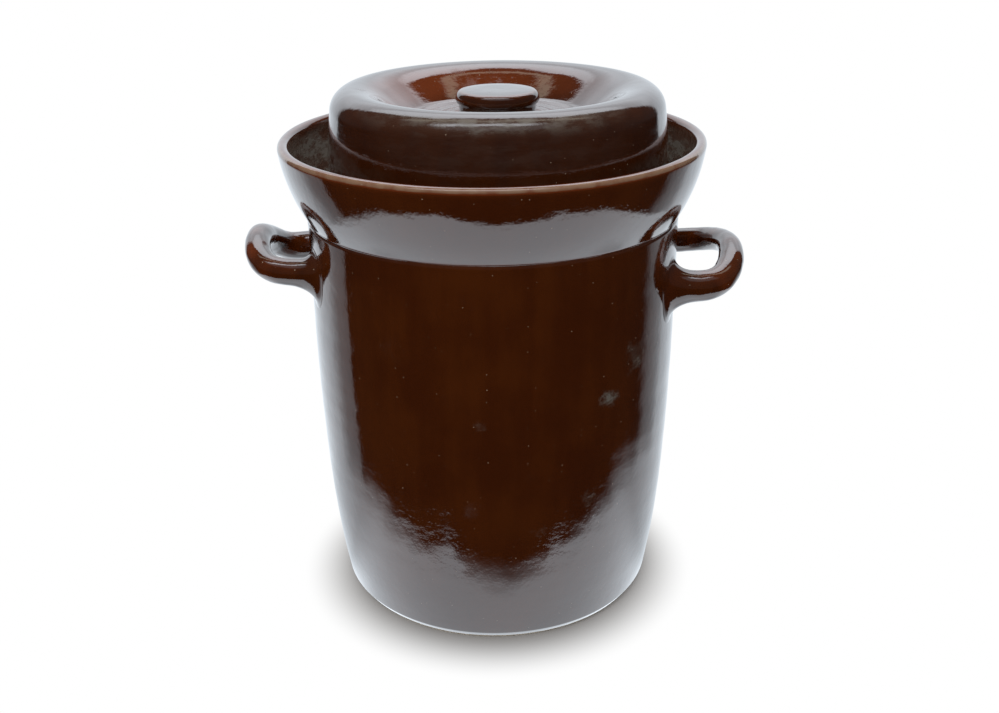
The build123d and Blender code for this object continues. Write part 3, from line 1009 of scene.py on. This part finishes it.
class Nodes:
    """Short ways to add and wire the nodes of one tree."""

    def __init__(self, tree):
        self.tree = tree

    def add(self, kind, **settings):
        node = self.tree.nodes.new(kind)
        for name, value in settings.items():
            setattr(node, name, value)
        return node

    def wire(self, source, target):
        self.tree.links.new(source, target)

    def put(self, socket, value):
        """Wire the value if it is a socket, and set it otherwise."""
        if isinstance(value, bpy.types.NodeSocket):
            self.wire(value, socket)
        elif value is not None:
            socket.default_value = value

    def math(self, operation, first, second=None, third=None):
        node = self.add("ShaderNodeMath", operation=operation)
        for socket, value in zip(node.inputs, (first, second, third)):
            self.put(socket, value)
        return node.outputs[0]

    def smooth(self, value, low, high, to_low=0.0, to_high=1.0):
        """A smooth step from to_low at low to to_high at high."""
        node = self.add("ShaderNodeMapRange", interpolation_type="SMOOTHSTEP")
        names = ("Value", "From Min", "From Max", "To Min", "To Max")
        for name, setting in zip(names, (value, low, high, to_low, to_high)):
            self.put(node.inputs[name], setting)
        return node.outputs[0]

    def product(self, first, *factors):
        """All the values multiplied, from the left."""
        for factor in factors:
            first = self.math("MULTIPLY", first, factor)
        return first

    def largest(self, first, *others):
        """The largest of the values."""
        for other in others:
            first = self.math("MAXIMUM", first, other)
        return first

    def blend(self, factor, first, second):
        """A number mixed from two others."""
        node = self.add("ShaderNodeMix", data_type="FLOAT")
        for socket, value in zip((node.inputs[0], node.inputs[2], node.inputs[3]), (factor, first, second)):
            self.put(socket, value)
        return node.outputs[0]

    def either(self, factor, first, second):
        """A shader mixed from two others."""
        node = self.add("ShaderNodeMixShader")
        for socket, value in zip(node.inputs, (factor, first, second)):
            self.wire(value, socket)
        return node.outputs[0]

    def bump(self, height, strength, distance):
        """A normal from a height."""
        node = self.add("ShaderNodeBump")
        node.inputs["Strength"].default_value = strength
        node.inputs["Distance"].default_value = distance
        self.wire(height, node.inputs["Height"])
        return node.outputs["Normal"]

    def grains(self, vector, scale):
        """The outputs of a cell pattern."""
        node = self.add("ShaderNodeTexVoronoi", feature="F1")
        self.put(node.inputs["Vector"], vector)
        self.put(node.inputs["Scale"], scale)
        return node.outputs

    def mirrored(self):
        """1 for the rays that a gloss or a glass sends on."""
        seen = self.add("ShaderNodeLightPath").outputs
        return self.math("MAXIMUM", seen["Is Glossy Ray"], seen["Is Transmission Ray"])

    def mix(self, factor, first, second):
        """A colour mixed from two others."""
        node = self.add("ShaderNodeMix", data_type="RGBA")
        self.put(node.inputs["Factor"], factor)
        self.put(node.inputs[6], first)
        self.put(node.inputs[7], second)
        return node.outputs[2]

    def noise(self, vector, scale, detail=3.0, roughness=0.5):
        node = self.add("ShaderNodeTexNoise")
        self.put(node.inputs["Vector"], vector)
        self.put(node.inputs["Scale"], scale)
        self.put(node.inputs["Detail"], detail)
        self.put(node.inputs["Roughness"], roughness)
        return node.outputs["Fac"]

    def stretched(self, vector, scale):
        """The vector scaled axis by axis."""
        node = self.add("ShaderNodeMapping")
        self.put(node.inputs["Vector"], vector)
        node.inputs["Scale"].default_value = scale
        return node.outputs[0]


def new_group(name, inputs, outputs):
    """A shader node group with named sockets, ready to fill."""
    tree = bpy.data.node_groups.new(name, "ShaderNodeTree")
    for socket_name, kind, default in inputs:
        socket = tree.interface.new_socket(name=socket_name, in_out="INPUT", socket_type=kind)
        if default is not None:
            socket.default_value = default
    for socket_name, kind in outputs:
        tree.interface.new_socket(name=socket_name, in_out="OUTPUT", socket_type=kind)
    nodes = Nodes(tree)
    return tree, nodes, nodes.add("NodeGroupInput"), nodes.add("NodeGroupOutput")


FLOAT, COLOUR, VECTOR = "NodeSocketFloat", "NodeSocketColor", "NodeSocketVector"


def iron_glaze_group():
    """Colour of iron glaze: dark where thick, red-brown where thin, clouded, run and specked."""
    name = "Iron glaze"
    if name in bpy.data.node_groups:
        return bpy.data.node_groups[name]
    tree, nodes, given, result = new_group(
        name,
        [
            ("Place", VECTOR, None),
            ("Deep", COLOUR, (0.04, 0.009, 0.002, 1)),
            ("Warm", COLOUR, (0.06, 0.017, 0.004, 1)),
            ("Thin", COLOUR, (0.24, 0.06, 0.013, 1)),
            ("Edge", COLOUR, (0.19, 0.11, 0.07, 1)),
            ("Speck", COLOUR, (0.4, 0.33, 0.25, 1)),
            ("Film", COLOUR, (0.08, 0.07, 0.06, 1)),
            ("Thinness", FLOAT, 0.0),
            ("Film Amount", FLOAT, 0.0),
            ("Specks", FLOAT, 0.5),
        ],
        [("Color", COLOUR), ("Film", FLOAT), ("Specks", FLOAT)],
    )
    here = given.outputs["Place"]
    clouds = nodes.noise(here, 16.0, 4.0, 0.55)
    runs = nodes.noise(nodes.stretched(here, (1.0, 1.0, 0.12)), 70.0, 3.0, 0.6)
    clouded = nodes.math("MULTIPLY_ADD", runs, 0.45, nodes.math("MULTIPLY", clouds, 0.75))
    body = nodes.mix(nodes.smooth(clouded, 0.46, 0.74), given.outputs["Deep"], given.outputs["Warm"])
    ragged = nodes.math("MULTIPLY_ADD", nodes.noise(here, 130.0, 4.0), 0.5, -0.25)
    even = given.outputs["Thinness"]
    thinness = nodes.math("ADD", even, nodes.math("MULTIPLY", ragged, even))
    glaze = nodes.mix(nodes.smooth(thinness, 0.05, 0.75), body, given.outputs["Thin"])
    # Thinness above three quarters brings in the pale edge colour: bare edges, and on the lip in part a
    # painted highlight.
    glaze = nodes.mix(nodes.smooth(thinness, 0.75, 1.05), glaze, given.outputs["Edge"])
    # The pale film colour: dust, dried water and scuffs, and on the lid's shoulder and the knob's waist in
    # part a painted haze.
    streaks = nodes.noise(nodes.stretched(here, (1.0, 1.0, 3.0)), 42.0, 5.0, 0.7)
    patches = nodes.smooth(streaks, 0.40, 0.60, 0.25, 1.0)
    film = nodes.math("MULTIPLY", patches, given.outputs["Film Amount"])
    glaze = nodes.mix(film, glaze, given.outputs["Film"])
    grain = nodes.grains(here, 230.0)
    keep = nodes.add("ShaderNodeSeparateColor")
    nodes.wire(grain["Color"], keep.inputs[0])
    widest = nodes.smooth(keep.outputs[0], 0.35, 1.0, 0.02, 0.10)
    size = nodes.math("MULTIPLY", widest, given.outputs["Specks"])
    dots = nodes.smooth(nodes.math("SUBTRACT", size, grain["Distance"]), 0.0, 0.02)
    specked = nodes.mix(nodes.math("MULTIPLY", dots, 0.75), glaze, given.outputs["Speck"])
    nodes.wire(specked, result.inputs["Color"])
    nodes.wire(film, result.inputs["Film"])
    nodes.wire(dots, result.inputs["Specks"])
    return tree


def glaze_skin_group():
    """Height and roughness of a glazed surface: orange peel, throwing rings and smudges."""
    name = "Glaze skin"
    if name in bpy.data.node_groups:
        return bpy.data.node_groups[name]
    tree, nodes, given, result = new_group(
        name,
        [
            ("Place", VECTOR, None),
            ("Roughness", FLOAT, 0.05),
            ("Smudges", FLOAT, 0.3),
            ("Rings", FLOAT, 0.3),
            ("Specks", FLOAT, 0.0),
        ],
        [("Height", FLOAT), ("Roughness", FLOAT)],
    )
    here = given.outputs["Place"]
    swell = nodes.noise(here, 22.0, 2.0)
    peel = nodes.noise(here, 420.0, 2.0)
    rings = nodes.noise(nodes.stretched(here, (0.12, 0.12, 1.0)), 150.0, 3.0)
    height = nodes.math("MULTIPLY", peel, 0.045)
    for part, amount in (
        (rings, given.outputs["Rings"]),
        (swell, 0.9),
        (nodes.noise(here, 80.0, 4.0, 0.6), 1.7),
        (given.outputs["Specks"], 0.06),
    ):
        height = nodes.math("MULTIPLY_ADD", part, amount, height)
    patch = nodes.smooth(nodes.noise(here, 34.0, 5.0, 0.62), 0.60, 0.74)
    haze = nodes.math("MULTIPLY", patch, given.outputs["Smudges"])
    nodes.wire(height, result.inputs["Height"])
    nodes.wire(nodes.math("ADD", given.outputs["Roughness"], haze), result.inputs["Roughness"])
    return tree


def scuff_group():
    """A worn spot on a glaze: 1 in its middle, broken up towards its edge."""
    name = "Scuff"
    if name in bpy.data.node_groups:
        return bpy.data.node_groups[name]
    tree, nodes, given, result = new_group(
        name,
        [("Place", VECTOR, None), ("Middle", VECTOR, None), ("Size", FLOAT, 0.01)],
        [("Mask", FLOAT)],
    )
    here = given.outputs["Place"]
    apart = nodes.add("ShaderNodeVectorMath", operation="DISTANCE")
    nodes.wire(here, apart.inputs[0])
    nodes.wire(given.outputs["Middle"], apart.inputs[1])
    near = nodes.math("SUBTRACT", 1.0, nodes.math("DIVIDE", apart.outputs["Value"], given.outputs["Size"]))
    broken = nodes.math("MULTIPLY_ADD", nodes.noise(here, 210.0, 5.0, 0.7), 1.8, -1.1)
    nodes.wire(nodes.smooth(nodes.math("ADD", near, broken), 0.15, 0.75), result.inputs["Mask"])
    return tree


def clay_group():
    """Colour of bare fired clay: warm, with darker grains."""
    name = "Fired clay"
    if name in bpy.data.node_groups:
        return bpy.data.node_groups[name]
    tree, nodes, given, result = new_group(
        name,
        [
            ("Place", VECTOR, None),
            ("Clay", COLOUR, (0.6, 0.5, 0.37, 1)),
            ("Grains", COLOUR, (0.4, 0.3, 0.2, 1)),
        ],
        [("Color", COLOUR), ("Height", FLOAT), ("Roughness", FLOAT)],
    )
    here = given.outputs["Place"]
    clouds = nodes.noise(here, 26.0, 5.0, 0.6)
    grains = given.outputs["Grains"]
    toned = nodes.mix(nodes.smooth(clouds, 0.4, 0.75, 0.0, 0.45), given.outputs["Clay"], grains)
    pits = nodes.smooth(nodes.grains(here, 420.0)["Distance"], 0.05, 0.22, 1.0, 0.0)
    fine = nodes.math("MULTIPLY", nodes.noise(here, 900.0, 3.0), 0.5)
    nodes.wire(nodes.mix(nodes.math("MULTIPLY", pits, 0.7), toned, grains), result.inputs["Color"])
    height = nodes.math("SUBTRACT", fine, nodes.math("MULTIPLY", pits, 0.4))
    nodes.wire(height, result.inputs["Height"])
    nodes.wire(nodes.smooth(clouds, 0.3, 0.7, 0.72, 0.9), result.inputs["Roughness"])
    return tree


def grouped(nodes, tree, **values):
    """A group placed in a material, with its inputs set or wired."""
    node = nodes.add("ShaderNodeGroup")
    node.node_tree = tree
    for name, value in values.items():
        nodes.put(node.inputs[name.replace("_", " ")], value)
    return node.outputs


def four(rgb):
    """A colour with full alpha."""
    return (*rgb, 1.0)


def clay_look(nodes, here, look):
    """The bare clay of this jar, placed in a material."""
    return grouped(
        nodes, clay_group(), Place=here, Clay=four(look.clay), Grains=four(look.clay_dark)
    )


def glaze_material(name, look, specks, smudges, rings, bare_below=None, depth=1.0, scuffs=()):
    """An iron-glazed material, darker for a smaller depth. Below bare_below, the clay is bare."""
    if name in bpy.data.materials:
        return bpy.data.materials[name]
    material = bpy.data.materials.new(name)
    material.use_nodes = True
    nodes = Nodes(material.node_tree)
    shader = material.node_tree.nodes["Principled BSDF"]
    here = nodes.add("ShaderNodeTexCoord").outputs["Object"]
    thin = nodes.add("ShaderNodeAttribute", attribute_name=THIN_GLAZE).outputs["Fac"]
    film = nodes.add("ShaderNodeAttribute", attribute_name=DULL_FILM).outputs["Fac"]
    for turn, height, out, size, amount in scuffs:
        way = math.radians(turn)
        middle = (out * math.sin(way), -out * math.cos(way), height)
        scuff = grouped(nodes, scuff_group(), Place=here, Middle=middle, Size=size)
        film = nodes.math("MAXIMUM", film, nodes.math("MULTIPLY", scuff["Mask"], amount))
    glaze = grouped(
        nodes, iron_glaze_group(), Place=here,
        Deep=four(look.deep * depth), Warm=four(look.warm * depth),
        Thin=four(look.thin), Edge=four(look.edge), Speck=four(look.speck), Film=four(look.film),
        Thinness=thin, Film_Amount=film, Specks=specks,
    )
    skin = grouped(
        nodes, glaze_skin_group(), Place=here, Roughness=look.roughness, Smudges=smudges,
        Rings=rings, Specks=glaze["Specks"],
    )
    base_colour, height = glaze["Color"], skin["Height"]
    roughness = nodes.math("MULTIPLY_ADD", glaze["Film"], 0.26, skin["Roughness"])
    coat = nodes.math("MULTIPLY_ADD", glaze["Film"], -1.0, 1.0)
    if bare_below is not None:
        clay = clay_look(nodes, here, look)
        level = nodes.add("ShaderNodeSeparateXYZ")
        nodes.wire(here, level.inputs[0])
        edge = nodes.math("MULTIPLY_ADD", nodes.noise(here, 90.0, 4.0), 0.0014, bare_below - 0.0007)
        bare = nodes.smooth(nodes.math("SUBTRACT", edge, level.outputs["Z"]), -0.00015, 0.00015)
        base_colour = nodes.mix(bare, base_colour, clay["Color"])
        roughness = nodes.mix(bare, roughness, clay["Roughness"])
        height = nodes.mix(bare, height, clay["Height"])
        coat = nodes.math("MULTIPLY", coat, nodes.math("SUBTRACT", 1.0, bare))
    nodes.wire(coat, shader.inputs["Coat Weight"])
    nodes.wire(nodes.bump(height, 0.35, 0.0006), shader.inputs["Normal"])
    nodes.wire(base_colour, shader.inputs["Base Color"])
    nodes.wire(roughness, shader.inputs["Roughness"])
    shader.inputs["IOR"].default_value = 1.62
    shader.inputs["Coat IOR"].default_value = 1.5
    shader.inputs["Coat Roughness"].default_value = 0.015
    return material


# Scuffs on the pot: degrees from the front towards +X, height, distance from the axis,
# size and strength
SCUFFS = (
    (35.5, 0.179, 0.126, 0.0130, 1.0),
    (30.0, 0.109, 0.121, 0.0120, 0.8),
    (13.5, 0.091, 0.119, 0.0105, 0.8),
    (46.0, 0.203, 0.126, 0.0180, 0.8),
    (-4.0, 0.172, 0.126, 0.0070, 0.4),
)


def crock_glaze_material(look):
    """The pot's glaze, bare at the foot."""
    return glaze_material(
        "crock iron glaze", look, 0.9, 0.16, 0.25, bare_below=look.bare_height, scuffs=SCUFFS
    )


def lid_glaze_material(look):
    """The lid's glaze, with more smudges and turning rings."""
    return glaze_material("lid iron glaze", look, 0.85, 0.30, 1.3, depth=0.6)


def ear_glaze_material(look):
    """The ears' glaze, thinner and redder over the roll."""
    return glaze_material("ear iron glaze", look, 1.1, 0.12, 0.1, depth=0.85)


def bare_clay_material(look):
    """Bare fired stoneware."""
    name = "bare stoneware"
    if name in bpy.data.materials:
        return bpy.data.materials[name]
    material = bpy.data.materials.new(name)
    material.use_nodes = True
    nodes = Nodes(material.node_tree)
    shader = material.node_tree.nodes["Principled BSDF"]
    here = nodes.add("ShaderNodeTexCoord").outputs["Object"]
    clay = clay_look(nodes, here, look)
    nodes.wire(nodes.bump(clay["Height"], 0.5, 0.0004), shader.inputs["Normal"])
    nodes.wire(clay["Color"], shader.inputs["Base Color"])
    nodes.wire(clay["Roughness"], shader.inputs["Roughness"])
    return material


# Stage


def ramp(nodes, factor, stops):
    """A value that follows given stops of (place, value)."""
    node = nodes.add("ShaderNodeValToRGB")
    elements = node.color_ramp.elements
    while len(elements) < len(stops):
        elements.new(0.5)
    for element, (position, value) in zip(elements, stops):
        element.position = position
        element.color = (value, value, value, 1)
    nodes.put(node.inputs[0], factor)
    return node.outputs[0]


def mirrored_table(nodes, stage):
    """What the glaze mirrors of the floor: a soft pale patch round the jar."""
    spot = nodes.add("ShaderNodeSeparateXYZ")
    here = nodes.add("ShaderNodeTexCoord").outputs["Object"]
    nodes.wire(here, spot.inputs[0])
    x, y = spot.outputs[0], spot.outputs[1]
    half_width = nodes.smooth(x, -0.05, 0.15, 0.285, 0.335)     # wider on the right
    half_depth = 0.184
    across = nodes.math("POWER", nodes.math("DIVIDE", x, half_width), 2.0)
    along = nodes.math("POWER", nodes.math("DIVIDE", y, half_depth), 2.0)
    uneven = nodes.math("MULTIPLY_ADD", nodes.noise(here, 11.0, 2.0), 0.22, -0.11)
    ellipse = nodes.math("ADD", nodes.math("SQRT", nodes.math("ADD", across, along)), uneven)
    near = nodes.smooth(ellipse, 0.78, 1.08, 1.0, 0.0)
    ahead = nodes.math("DIVIDE", nodes.math("MULTIPLY", y, -1.0), nodes.math("MAXIMUM", ellipse, 0.01))
    clear = nodes.add("ShaderNodeBsdfTransparent")
    glow = nodes.add("ShaderNodeEmission")
    glow.inputs["Color"].default_value = four(stage.pale)
    nodes.wire(nodes.smooth(ahead, 0.03, 0.13, 0.85, 1.42), glow.inputs["Strength"])
    return nodes.either(near, clear.outputs[0], glow.outputs[0])


def floor_material(stage):
    """A pale floor that keeps the jar's shadow, darkened near the jar by a painted grey shadow, and fades to
    plain white away from it.
    """
    material = bpy.data.materials.new("floor")
    material.use_nodes = True
    tree = material.node_tree
    tree.nodes.clear()
    nodes = Nodes(tree)
    shifted = nodes.add("ShaderNodeVectorMath", operation="ADD")
    nodes.wire(nodes.add("ShaderNodeTexCoord").outputs["Object"], shifted.inputs[0])
    shifted.inputs[1].default_value = (0.0, stage.shadow_shift, 0.0)
    away = nodes.add("ShaderNodeVectorMath", operation="LENGTH")
    nodes.wire(shifted.outputs[0], away.inputs[0])
    # Grey near the jar, white from shadow_end on: a painted shadow round the foot, over the real one.
    fade = nodes.smooth(away.outputs["Value"], stage.shadow_start, stage.shadow_end)
    seen = nodes.add("ShaderNodeLightPath").outputs["Is Camera Ray"]
    matt = nodes.add("ShaderNodeBsdfDiffuse")
    matt.inputs["Color"].default_value = (0.34, 0.33, 0.32, 1)
    white = nodes.add("ShaderNodeEmission")
    shown = nodes.either(nodes.math("MULTIPLY", fade, seen), matt.outputs[0], white.outputs[0])
    surface = nodes.either(nodes.mirrored(), shown, mirrored_table(nodes, stage))
    nodes.wire(surface, nodes.add("ShaderNodeOutputMaterial").inputs["Surface"])
    return material


# How bright the room is to the glaze low down, from the front (0) round to the back (1)
LEFT_BACKDROP_LEVELS = (
    (0.598, 0.0), (0.615, 0.36), (0.70, 0.40), (0.745, 0.6), (0.79, 0.85), (0.85, 0.92), (1.0, 1.0),
)
RIGHT_BACKDROP_LEVELS = (
    (0.64, 0.0), (0.66, 0.1), (0.70, 0.3), (0.76, 0.42), (0.80, 0.52), (0.84, 0.82), (1.0, 0.92),
)
# How bright it is behind the jar, from the horizon (0) to straight overhead (1)
UPWARD_LEVELS = (
    (0.0, 0.85), (0.30, 0.95), (0.42, 1.25), (0.60, 1.2),
    (0.66, 2.0), (0.80, 2.6), (0.90, 2.6), (0.93, 0.06),
)
TOP_LEVEL = 4.0     # the upward levels are divided by this, since a ramp ends at 1


def table_below(nodes, x, y, z):
    """A pale table far below, which the overhanging glaze mirrors. Its edges are slopes."""
    down = nodes.math("MAXIMUM", nodes.math("MULTIPLY", z, -1.0), 0.05)
    aside = nodes.math("DIVIDE", x, down)
    behind = nodes.math("DIVIDE", y, down)
    front = nodes.math("MULTIPLY_ADD", nodes.math("MINIMUM", aside, 0.0), 0.19, -0.86)
    across_corner = nodes.math("SUBTRACT", nodes.math("ABSOLUTE", aside), behind)
    return nodes.product(
        nodes.smooth(behind, 0.1, 1.0, 1.42, 1.0),
        nodes.smooth(nodes.math("SUBTRACT", behind, front), -0.03, 0.03),
        nodes.smooth(aside, -1.32, -1.10),
        nodes.smooth(aside, 1.23, 1.32, 1.0, 0.0),
        nodes.smooth(across_corner, 1.58, 1.72, 1.0, 0.0),
        nodes.smooth(behind, 1.2, 1.8, 1.0, 0.0),
        nodes.smooth(z, -0.45, -0.36, 1.0, 0.0),
    )


def strip_overhead(nodes, x, y, z):
    """A long pale strip across the room, a little behind the jar."""
    return nodes.product(
        nodes.smooth(y, 0.04, 0.09),
        nodes.smooth(y, 0.15, 0.20, 1.0, 0.0),
        nodes.smooth(nodes.math("ABSOLUTE", x), 0.5, 0.66, 1.0, 0.0),
        nodes.smooth(z, 0.5, 0.6),
    )


def lamp_overhead(nodes, x, y, z):
    """A bright lamp in front of the jar, above and to the left."""
    return nodes.product(
        nodes.smooth(y, -0.36, -0.28),
        nodes.smooth(y, -0.18, -0.12, 3.4, 0.0),
        nodes.smooth(x, -0.60, -0.35),
        nodes.smooth(x, 0.15, 0.42, 1.0, 0.0),
        nodes.smooth(z, 0.5, 0.6),
    )


def studio_world(stage):
    """White where the camera looks; to a glaze, a dark room in front and a pale backdrop behind."""
    world = bpy.data.worlds.new("studio")
    bpy.context.scene.world = world
    world.use_nodes = True
    tree = world.node_tree
    tree.nodes.clear()
    nodes = Nodes(tree)
    way = nodes.add("ShaderNodeSeparateXYZ")
    nodes.wire(nodes.add("ShaderNodeTexCoord").outputs["Generated"], way.inputs[0])
    x, y, z = way.outputs
    level = nodes.math("SQRT", nodes.math("ADD", nodes.product(x, x), nodes.product(y, y)))
    behind = nodes.math("DIVIDE", y, nodes.math("MAXIMUM", level, 0.001))
    round_share = nodes.math("MULTIPLY_ADD", behind, 0.5, 0.5)
    low = nodes.blend(
        nodes.smooth(x, -0.1, 0.1),
        ramp(nodes, round_share, LEFT_BACKDROP_LEVELS),
        ramp(nodes, round_share, RIGHT_BACKDROP_LEVELS),
    )
    upward = ramp(nodes, z, [(rise, value / TOP_LEVEL) for rise, value in UPWARD_LEVELS])
    upward = nodes.math("MULTIPLY", upward, TOP_LEVEL)
    high = nodes.math("MULTIPLY", nodes.smooth(round_share, 0.835, 0.87), upward)
    backdrop = nodes.blend(nodes.smooth(z, -0.30, -0.10), low, high)
    front_sky = nodes.product(
        nodes.smooth(z, 0.66, 0.78),
        nodes.smooth(z, 0.90, 0.96, 1.0, 0.0),
        nodes.smooth(round_share, 0.15, 0.35, 0.35, 0.0),
    )
    dim = nodes.math("MULTIPLY_ADD", nodes.smooth(z, -0.12, 0.02), 0.03, 0.012)
    strip = strip_overhead(nodes, x, y, z)
    lamp = lamp_overhead(nodes, x, y, z)
    room = nodes.largest(backdrop, front_sky, dim, table_below(nodes, x, y, z), strip, lamp)
    mirror = nodes.mirrored()
    tinted = nodes.mix(strip, four(stage.pale), (1.0, 0.97, 0.78, 1.0))
    colour_seen = nodes.mix(mirror, (1.0, 1.0, 1.0, 1.0), tinted)
    strength = nodes.blend(mirror, stage.ambient, room)
    seen = nodes.add("ShaderNodeLightPath").outputs["Is Camera Ray"]
    shown = nodes.math("MAXIMUM", strength, seen)
    background = nodes.add("ShaderNodeBackground")
    nodes.wire(colour_seen, background.inputs["Color"])
    nodes.wire(shown, background.inputs["Strength"])
    nodes.wire(background.outputs[0], nodes.add("ShaderNodeOutputWorld").inputs["Surface"])


def softbox(name, place_at, target, size, energy):
    """A rectangular area lamp that faces a target."""
    lamp = bpy.data.lights.new(name, "AREA")
    lamp.shape = "RECTANGLE"
    lamp.size, lamp.size_y = size
    lamp.energy = energy
    holder = bpy.data.objects.new(name, lamp)
    holder.location = place_at
    holder.rotation_euler = (Vector(target) - Vector(place_at)).to_track_quat("-Z", "Y").to_euler()
    holder.visible_camera = False
    holder.visible_glossy = False
    bpy.context.scene.collection.objects.link(holder)


class StageOperator(bpy.types.Operator):
    """Set up the floor, the light and the camera"""

    bl_idname = "pickle_jar.stage"
    bl_label = "Stage"

    def execute(self, context):
        scene = context.scene
        stage = scene.pickle_jar.stage
        mesh = bmesh.new()
        bmesh.ops.create_circle(mesh, cap_ends=True, segments=96, radius=stage.floor_radius)
        floor = finished("floor", mesh)
        floor.data.materials.append(floor_material(stage))
        studio_world(stage)
        middle = (0.0, 0.0, 0.18)     # half-way up the jar
        softbox("front softbox", (-0.4, -1.3, 1.5), middle, (0.9, 0.6), 14)
        softbox("top softbox", (0.0, 0.4, 1.7), middle, (1.4, 0.8), 20)
        camera = bpy.data.objects.new("camera", bpy.data.cameras.new("camera"))
        camera.data.lens = stage.lens
        camera.data.clip_start = 0.01
        camera.matrix_world = (
            Matrix.Translation(stage.camera_place)
            @ Matrix.Rotation(math.pi / 2 - stage.camera_tilt, 4, "X")
            @ Matrix.Rotation(stage.camera_roll, 4, "Z")
        )
        scene.collection.objects.link(camera)
        scene.camera = camera
        scene.view_settings.view_transform = "Standard"
        return {"FINISHED"}


class PickleJarPanel(bpy.types.Panel):
    """The jar's pieces, in the order in which they are built"""

    bl_idname = "VIEW3D_PT_pickle_jar"
    bl_label = "Pickle Jar"
    bl_space_type = "VIEW_3D"
    bl_region_type = "UI"
    bl_category = "Pickle Jar"

    def draw(self, context):
        column = self.layout.column()
        for operator in OPERATORS:
            column.operator(operator.bl_idname)
        jar = context.scene.pickle_jar
        for part in ("glaze", "stage"):
            box = self.layout.box()
            group = getattr(jar, part)
            for name in group.bl_rna.properties.keys():
                if name not in ("rna_type", "name"):
                    box.prop(group, name)


OPERATORS = (
    CrockBodyOperator,
    CollarOperator,
    EarsOperator,
    LidOperator,
    KnobOperator,
    StonesOperator,
    StageOperator,
)
GROUPS = (
    CrockShape,
    CollarShape,
    LidShape,
    KnobShape,
    RightEarShape,
    LeftEarShape,
    StoneShape,
    GlazeLook,
    StageLook,
    PickleJar,
)


def register():
    for each in (*GROUPS, *OPERATORS, PickleJarPanel):
        bpy.utils.register_class(each)
    bpy.types.Scene.pickle_jar = PointerProperty(type=PickleJar)


def unregister():
    del bpy.types.Scene.pickle_jar
    for each in reversed((*GROUPS, *OPERATORS, PickleJarPanel)):
        bpy.utils.unregister_class(each)


def main():
    register()
    bpy.ops.pickle_jar.crock_body()
    bpy.ops.pickle_jar.collar()
    bpy.ops.pickle_jar.ears()
    bpy.ops.pickle_jar.lid()
    bpy.ops.pickle_jar.knob()
    bpy.ops.pickle_jar.stones()
    bpy.ops.pickle_jar.stage()


if __name__ == "__main__":
    main()
